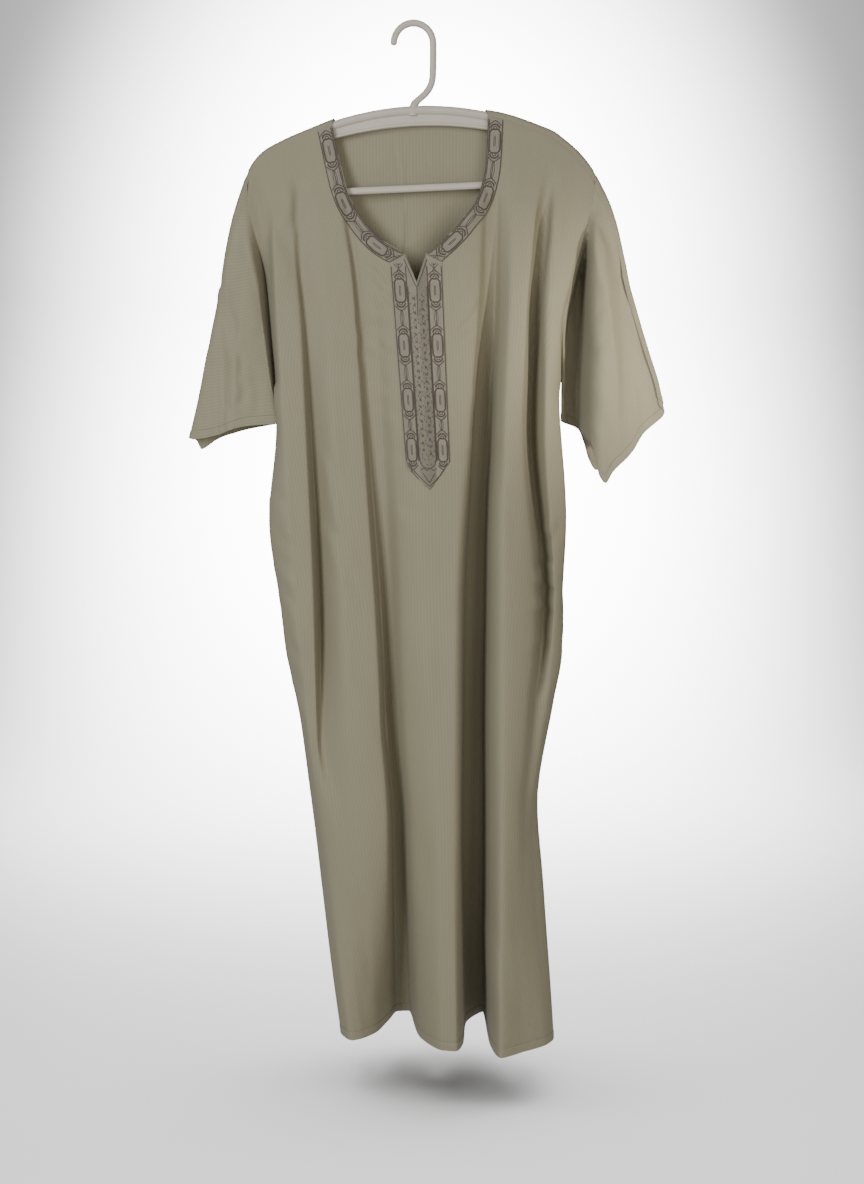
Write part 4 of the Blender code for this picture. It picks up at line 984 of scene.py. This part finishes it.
# %% Cords and pads on a trim
def cords_piece(name, lines, find, width, height, material):
    """Low rounded cords along lines of (x, z), all in one piece."""
    points, faces, uv = [], [], []
    turns = np.linspace(0, math.pi, 6)
    for line, closed, *own in lines:
        line, wide = np.asarray(line, float), own[0] if own else width
        if closed:
            line = np.vstack([line, line[:1]])
        places = run_places(line)
        at = np.linspace(0, places[-1], max(3, int(places[-1] / 1.3)) + 1)
        laid = [find(*[np.interp(n, places, line[:, k]) for k in (0, 1)]) for n in at]
        centre, normal = np.array([f[0] for f in laid]), unit(np.array([f[1] for f in laid]))
        along = unit(np.gradient(centre, axis=0))
        if closed:
            along[0] = along[-1] = unit(centre[1] - centre[-2])
        side = unit(np.cross(normal, along))
        taper = 1.0 if closed else np.minimum(1.0, 0.35 + 0.65 * np.minimum(at, at[-1] - at) / 1.5)
        faces += rod_faces(len(points), len(at), len(turns))
        for spot, out, beside, full, place in zip(centre, normal, side, taper * np.ones(len(at)), at):
            for cos, sin in zip(np.cos(turns), np.maximum(0.0, np.sin(turns))):
                points.append(spot + beside * cos * wide / 2 * full + out * (sin * height * full - 0.15))
                uv.append((cos * wide / 2, place))
    return mesh_piece(name, points, faces, uv, material, 60)


def pads_piece(name, shapes, find, height, material):
    """Low domed pads inside closed outlines given as (left edge, right edge) runs of (x, z)."""
    points, faces, uv = [], [], []
    for left, right in shapes:
        base, rows, columns = len(points), len(left), 6
        for n in range(rows):
            for k in range(columns):
                share = k / (columns - 1)
                x, z = left[n] * (1 - share) + right[n] * share
                spot, normal = find(x, z)
                dome = math.sin(math.pi * (0.06 + 0.88 * share))
                dome *= math.sin(math.pi * (0.05 + 0.9 * n / (rows - 1))) ** 0.4
                points.append(spot + normal * (height * dome - 0.1))
                uv.append((share * 0.9, n * 1.2 + share * 2.0))
        faces += grid_faces(base, rows, columns)[0].tolist()
    return mesh_piece(name, points, faces, uv, material, 80)


# %% The chain pattern
def ring(at, radius):
    """A small ring on the chain's middle line."""
    return [(radius * math.cos(t), at + radius * math.sin(t)) for t in np.linspace(0, 2 * math.pi, 9, endpoint=False)]


def cap(end, sign, radius):
    """Half a ring round a link's end, open towards the link."""
    return [(radius * math.cos(t), end + sign * (radius * math.sin(t) - 1.0)) for t in np.linspace(0, math.pi, 13)]


def link(at):
    """Dark and pale lines of one link centred at a distance along the band, in (across, along)."""
    outline = [(-4.2, -15), (-6.9, -11), (-7.4, 0), (-6.9, 11), (-4.2, 15)]
    outline += [(-a, -s) for a, s in outline]
    dark, pale = [([(a, at + s) for a, s in outline], True, 2.2)], []
    for sign in (-1, 1):
        end = at + sign * 16.6
        dark.append(([(sign * 0.7, at - 7), (sign * 1.0, at), (sign * 0.7, at + 7)], False, 0.9))
        dark += [(cap(end, sign, 5.8), False, 2.3), (ring(end, 2.3), True, 1.3)]
        chevron = [(-8.6, 19.5), (-4.6, 23.4), (0, 26.4), (4.6, 23.4), (8.6, 19.5)]
        dark.append(([(a, at + sign * s) for a, s in chevron], False, 1.3))
        pale.append(([(a * 0.95, at + sign * (s - 1.6)) for a, s in chevron], False))
        pale.append(([(sign * 5.3, at - 10), (sign * 5.6, at), (sign * 5.3, at + 10)], False))
        for s in np.arange(-12.5, 13.5, 3.1):
            dark.append(([(sign * 5.9, at + s), (sign * 8.6, at + s + 1.6)], False, 0.8))
    return dark, pale


def leaves(start, end):
    """The two long leaves between links, with the line that parts them."""
    lines = [([(0, start - 1), (0, end + 1)], False, 1.2)]
    fills = []
    for sign in (-1, 1):
        rows = np.linspace(start - 0.5, end + 0.5, 12)
        swell = np.sin((rows - start + 1.0) / (end - start + 2.0) * math.pi) ** 0.7
        fills.append([np.stack([sign * (4.4 + bulge * swell), rows], -1) for bulge in (-1.5, 1.7)])
        lines.append(([(sign * 1.2, start), (sign * 2.6, (start + end) / 2), (sign * 1.2, end)], False, 0.7))
    return lines, fills


def link_fill(at):
    """The pale filling of a link, in two halves beside its middle line."""
    rows = np.linspace(at - 10.2, at + 10.2, 14)
    half = 4.9 * np.clip(1 - ((rows - at) / 11.2) ** 4, 0, 1) ** 0.5
    return [(np.stack([-half, rows], -1), np.stack([-half * 0.16, rows], -1)),
            (np.stack([half * 0.16, rows], -1), np.stack([half, rows], -1))]


def chain(centres):
    """Dark lines, pale lines and fillings of a chain along a band."""
    dark, pale, fills = [], [], []
    for at in centres:
        more_dark, more_pale = link(at)
        dark += more_dark
        pale += more_pale
        fills += link_fill(at)
    for before, after in zip(centres[:-1], centres[1:]):
        more, filled = leaves(before + 25.0, after - 25.0)
        dark += more
        fills += filled
    return dark, pale, fills


def fork(at, sign):
    """A small forked sprig that closes a chain."""
    return [([(-6.0, at + sign * 7), (0, at), (6.0, at + sign * 7)], False, 1.0),
            ([(0, at), (0, at + sign * 8)], False, 1.0),
            (ring(at - sign * 2.5, 2.2), True, 0.9),
            ([(-3.4, at + sign * 8), (0, at + sign * 4), (3.4, at + sign * 8)], False, 0.8)]


def carried(lines, carry):
    return [(np.array([carry(a, s) for a, s in line]), *rest) for line, *rest in lines]


def filled(fills, carry):
    return [tuple(np.array([carry(a, s) for a, s in edge]) for edge in fill) for fill in fills]


def embroider(trim, node, flat, first, last, pattern, carry, dark_width=1.0, loose=()):
    """Sews a pattern to its trim: dark cords, pale cords and fillings. Loose lines are given as (x, z)."""
    dark, pale, fills = pattern
    find = surface_of(trim)
    threads = [cords_piece(first + "_cords" + last, carried(dark, carry) + list(loose), find, dark_width, 0.7,
                           dark_thread),
               cords_piece(first + "_pale_cords" + last, carried(pale, carry), find, 1.0, 0.6, pale_thread),
               pads_piece(first + "_pads" + last, filled(fills, carry), find, 0.55, pale_thread)]
    embroidery.append((trim, node, flat, threads))
    print(node, len(dark) + len(pale), "lines", [len(piece.data.polygons) for piece in threads], "faces")


# %% Embroider the neck bands
embroidery = []
for side in ("left", "right"):
    inner, outer = bands[side]
    middle = run_places((inner + outer) / 2)
    total = middle[-1]

    def on_band(across, along, inner=inner, outer=outer, middle=middle):
        """(x, z) of a point given from the band's middle line, positive towards its outer edge."""
        share = 0.5 + across / TRIM_WIDTH
        return np.array([np.interp(along, middle, inner[:, k]) * (1 - share)
                         + np.interp(along, middle, outer[:, k]) * share for k in (0, 1)])

    dark, pale, fills = chain([30.0, 30.0 + (total - 62.0) / 2, total - 32.0])
    dark += fork(total - 5.5, 1)
    rims = np.linspace(2.0, total - 1.0, 90)
    dark += [([(a, s) for s in rims], False, 1.3) for a in (9.3, -9.3, -7.6)]
    embroider(trims[side], "neck_band_" + side, (0.0204, total * MM), "neck", "_" + side, (dark, pale, fills), on_band)

# %% Embroider the placket
PLACKET_WIDTH, PLACKET_LENGTH = 68.0, 298.0


def on_placket(across, along):
    """(x, z) of a point given across from the placket's left edge and down from its top."""
    left, right = (np.array(top) + (np.array(foot) - top) * along / length for top, foot, length in
                   (((-31.0, -301.5), (-10.0, -567.0), 266.3), ((37.0, -301.5), (48.0, -558.0), 256.7)))
    return left + (right - left) * across / PLACKET_WIDTH


def shifted(lines, across):
    return [([(across + a, s) for a, s in line], *rest) for line, *rest in lines]


placket_dark, placket_pale, placket_fills = [], [], []
for middle in (10.8, 57.2):
    dark, pale, fills = chain([36.0, 107.0, 178.0, 243.0])
    placket_dark += shifted(dark + fork(8.0, -1) + fork(268.5, 1)[:1], middle)
    placket_pale += shifted(pale, middle)
    placket_fills += [tuple(edge + (middle, 0) for edge in fill) for fill in fills]
down = np.linspace(4, 258, 90)
placket_dark += [([(a, s) for s in down], False, 1.5) for a in (1.2, 20.0, 66.8, 48.0)]
bowl = [(34 + 12.6 * math.cos(t), 254 + 13 * math.sin(t)) for t in np.linspace(0, math.pi, 20)]
sides_down = [(46.6, s) for s in np.linspace(30, 252, 60)], [(21.4, s) for s in np.linspace(252, 30, 60)]
placket_dark += [(line, False) for line in (
    sides_down[0] + bowl + sides_down[1],
    [(1.2, 258), (11, 274), (22, 285), (34.5, 296), (46, 285), (57, 274), (66.8, 257)],
    [(5.5, 262), (13, 272), (24, 282), (34.5, 290.5), (45, 282), (55, 272), (62.5, 261)],
    [(22, 270), (27, 266.5), (32, 270), (37, 266.5), (42, 270), (47, 266.5)],
    [(25, 273), (34.5, 286), (44, 273)])]
placket_pale.append(([(28, 272), (34.5, 281), (41, 272)], False))

# %% Seed stitches, and the slit's edges: dark cords, partly its facing and partly painted shade
for column in range(8):
    across = 23.2 + column * 3.1
    for n in range(50):
        at = 38 + n * 4.5 + (2.2 if column % 2 else 0.0)
        if at < 258 + 9 * math.sqrt(max(0.0, 1 - ((across - 34) / 12.6) ** 2)) - 4:
            lean = 0.5 if (n + column) % 3 else -0.6
            seed = ([(across - lean, at), (across + lean, at + 3.0)], False, 1.25)
            (placket_dark if (n * 5 + column * 3) % 7 < 3 else placket_pale).append(seed)
for column, across in enumerate((28.6, 39.4)):
    for n in range(22):
        at = 46 + n * 9.4 + 4.7 * column
        placket_dark += [([(across - lean, at - 2), (across + lean, at + 2)], False) for lean in (1.9, -1.9)]
# dark cords along both edges of the V and down from its point: partly the slit's dark facing, partly painted shade
# inside the slit
slit_facing_and_shade = [([(-12.8, -296.5), (3.0, -332.5)], False), ([(17.9, -296.5), (5.2, -332.5)], False),
               ([(4.1, -331.0), (5.6, -372.0)], False)]
embroider(placket, "placket", (PLACKET_WIDTH * MM, PLACKET_LENGTH * MM), "placket", "",
          (placket_dark, placket_pale, placket_fills), on_placket, 1.1, slit_facing_and_shade)

# %% [markdown]
# ## Rows of stitches
# A hem is held by a row of small straight stitches. One stitch is a short low bar of thread; the row repeats it along
# the line where the hem dips.

# %% Stitch rows
def stitch_row(name, run, normal, pitch=4.2, length=3.0, width=0.55):
    """Stitches along a run of points that lie on the cloth."""
    places = run_places(run)
    points, faces, uv = [], [], []
    for start in np.arange(1.0, places[-1] - length, pitch):
        faces += rod_faces(len(points), 4, 4)
        for share in (0.0, 0.25, 0.75, 1.0):
            at = start + length * share
            spot = np.array([np.interp(at, places, run[:, k]) for k in range(3)])
            up = unit(np.array([np.interp(at, places, normal[:, k]) for k in range(3)]))
            n = min(np.searchsorted(places, at), len(run) - 1)
            side = unit(np.cross(up, unit(run[n] - run[n - 1])))
            rise = 0.3 if share in (0.25, 0.75) else -0.1
            for turn in np.linspace(0, 2 * math.pi, 5)[:-1]:
                points.append(spot + side * math.cos(turn) * width / 2 + up * (rise + math.sin(turn) * width / 2))
                uv.append((turn * 0.2, at))
    return mesh_piece(name, points, faces, uv, sewing_thread, 60)


def hem_row(shape, normal, from_hem):
    """The run of points where a hem dips, and their directions."""
    return [np.array([[np.interp(HEM, left[::-1], column[::-1, k]) for k in range(3)]
                      for column, left in zip(values, from_hem)]) for values in (shape, normal)]


hem_stitches = {}
for name, values in shaped.items():
    first = "cuff_stitches_" if name in sleeve_grids else "hem_stitches_"
    hem_stitches[name] = stitch_row(first + name, *hem_row(*values))
print("hem stitches", [len(p.data.polygons) for p in hem_stitches.values()])

# %% [markdown]
# ## The hanger
# The hanger is one white moulding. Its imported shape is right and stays, and gets the plastic finish.

# %% Hanger finish
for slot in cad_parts["hanger"].material_slots:
    slot.material = plastic

# %% [markdown]
# ## The studio
# The robe hangs in front of a seamless pale sweep, so no horizon shows. Robe and sweep are lit apart, as in a catalogue
# picture where the background is finished on its own: each light reaches either the sweep or everything but the
# sweep. The robe gets a large soft key from the upper left, a faint light in front and a weak one from the right that
# keep the folds' shadows readable, a narrow spot on the right sleeve, and one light from behind. The sweep gets a
# wide light from above, which throws the soft shadow on the floor, and one on its wall behind the shoulders.

# %% Sweep
def sweep_painted_falloff():
    """The sweep's colour with painted light falloff: palest in the middle and darker towards its edges."""
    finish = Finish("sweep_painted_falloff", 0.9)
    across, _, up = finish.coordinates("Object")
    across, up = across * 0.5, (up + 0.56) * 0.37
    away = (across * across + up * up).math("SQRT")
    shade = finish.node("ShaderNodeMapRange", {"interpolation_type": "SMOOTHSTEP"}, away, 0.24, 0.92, 0.0, 1.0)
    # painted shade: the colour darkens from 0.92 in the middle to 0.06 at the edges, standing in for light falling off
    finish.feed("Base Color", finish.mix(shade, (0.92, 0.92, 0.92), (0.06, 0.06, 0.06)))
    return finish.material


FLOOR_Z, WALL_Y, BEND = -1.44, 3.2, 1.4
profile = [(-4.0, FLOOR_Z), (WALL_Y - BEND, FLOOR_Z)]
profile += [(WALL_Y - BEND + BEND * math.sin(t), FLOOR_Z + BEND - BEND * math.cos(t))
            for t in np.linspace(0.1, math.pi / 2, 16)]
profile.append((WALL_Y, 4.0))
sweep_mesh = bpy.data.meshes.new("sweep")
sweep_mesh.from_pydata([(x, y, z) for x in (-5.0, 5.0) for y, z in profile], [],
                       [[n, n + len(profile), n + len(profile) + 1, n + 1] for n in range(len(profile) - 1)])
sweep_mesh.shade_smooth()
sweep_mesh.materials.append(sweep_painted_falloff())
sweep = bpy.data.objects.new("sweep", sweep_mesh)
bpy.context.scene.collection.objects.link(sweep)
sweep.visible_diffuse = sweep.visible_glossy = False  # its paint doesn't brighten the robe

# %% Lights
WHITE, WARM = (1.0, 1.0, 1.0), (1.0, 0.93, 0.80)


def receivers(name, state):
    """A list that lets a light reach the sweep alone, or everything but the sweep."""
    listed = bpy.data.collections.new(name)
    listed.objects.link(sweep)
    for entry in listed.collection_objects:
        entry.light_linking.link_state = state
    return listed


def light(name, kind, place, aim, power, colour, reaches):
    """A light in its place, turned to what it is aimed at."""
    data = bpy.data.lights.new(name, kind)
    data.energy, data.color = power, colour
    lamp = bpy.data.objects.new(name, data)
    lamp.location = place
    lamp.rotation_euler = (Vector(aim) - Vector(place)).to_track_quat("-Z", "Y").to_euler()
    lamp.light_linking.receiver_collection = reaches
    bpy.context.scene.collection.objects.link(lamp)
    return data


on_robe, on_sweep = receivers("all_but_the_sweep", "EXCLUDE"), receivers("sweep_only", "INCLUDE")
spot = light("sleeve", "SPOT", (1.9, -1.5, -0.1), (0.345, 0, -0.40), 300, WARM, on_robe)
spot.spot_size, spot.spot_blend, spot.shadow_soft_size = 0.23, 1.0, 0.08
# name, place, aim, power, colour, what it reaches, width and height, spread in degrees
for name, *settings, size, spread in (
        ("key", (-1.4, -2.25, 0.05), (0, 0, -0.72), 52, WHITE, on_robe, (0.8, 1.6), 180),
        ("front", (0.3, -2.6, -0.7), (0, 0, -0.8), 8, WARM, on_robe, (0.5, 1.0), 180),
        ("fill", (1.3, -2.3, -0.7), (0, 0, -0.8), 20, WARM, on_robe, (1.1, 1.4), 180),
        ("behind", (0.9, 2.4, 0.4), (0, 0, -0.7), 60, WHITE, on_robe, (1.4, 1.4), 180),
        ("floor", (0, 0.5, 1.6), (0, 0.5, -1.4), 350, WHITE, on_sweep, (9.0, 2.2), 180),
        ("wall", (0, 1.08, 2.35), (0, 3.2, -0.4), 660, WHITE, on_sweep, (2.0, 1.25), 92)):
    data = light(name, "AREA", *settings)
    data.shape, data.size, data.size_y, data.spread = "RECTANGLE", *size, math.radians(spread)
world = bpy.data.worlds.new("studio")
bpy.context.scene.world = world
world.use_nodes = True
background = world.node_tree.nodes["Background"]
background.inputs["Color"].default_value = (1, 1, 1, 1)
background.inputs["Strength"].default_value = 0.31

# %% [markdown]
# Each piece and the threads sewn to it are attached to the root, the imported node that it stands for is hidden, and
# the size that each sheet of cloth was cut to is printed.

# %% Attach the pieces and hide the nodes they stand for
def declare(piece, node, cut, extras):
    """Attaches one sheet and the threads sewn to it to the root, hides the imported node it stands for, and prints its
    cut size.
    """
    (width, length), area = cut
    flat = (max(width, area / length * 1.002), length)
    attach(piece, "root")
    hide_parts(node)
    for extra in extras:
        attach(extra, "root")
    print(piece.name, "cut", [round(v, 3) for v in flat], "area", round(area, 3))


def cut_of(grid, closed=False):
    """Width and length that a grid was cut to, in metres, and its area in square metres."""
    loop = np.vstack([grid, grid[:1]]) if closed else grid
    rings = distance_across(loop)[-1]
    width, length = rings.mean() if closed else rings.max(), distance_down(grid)[:, -1].max()
    a, b = loop[1:, :-1] - loop[:-1, :-1], loop[:-1, 1:] - loop[:-1, :-1]
    return (float(width) * MM, float(length) * MM), float(np.linalg.norm(np.cross(a, b), axis=-1).sum()) * MM * MM


for name in cloths:
    if name in sleeve_grids:
        node, cut, rests_on = "sleeve_" + name, cut_of(sleeve_grids[name], True), "front_cloth"
    else:
        node, cut, rests_on = name + "_panel", cut_of(shaped[name][0]), "hanger"
    declare(cloths[name], node, cut, [hem_stitches[name]])
BOTH_FACES = 2.12  # a thin trim's surface, with its rims, over the area it was cut to
for trim, node, flat, threads in embroidery:
    area = sum(face.area for face in trim.data.polygons) / BOTH_FACES
    declare(trim, node, (flat, area), threads)
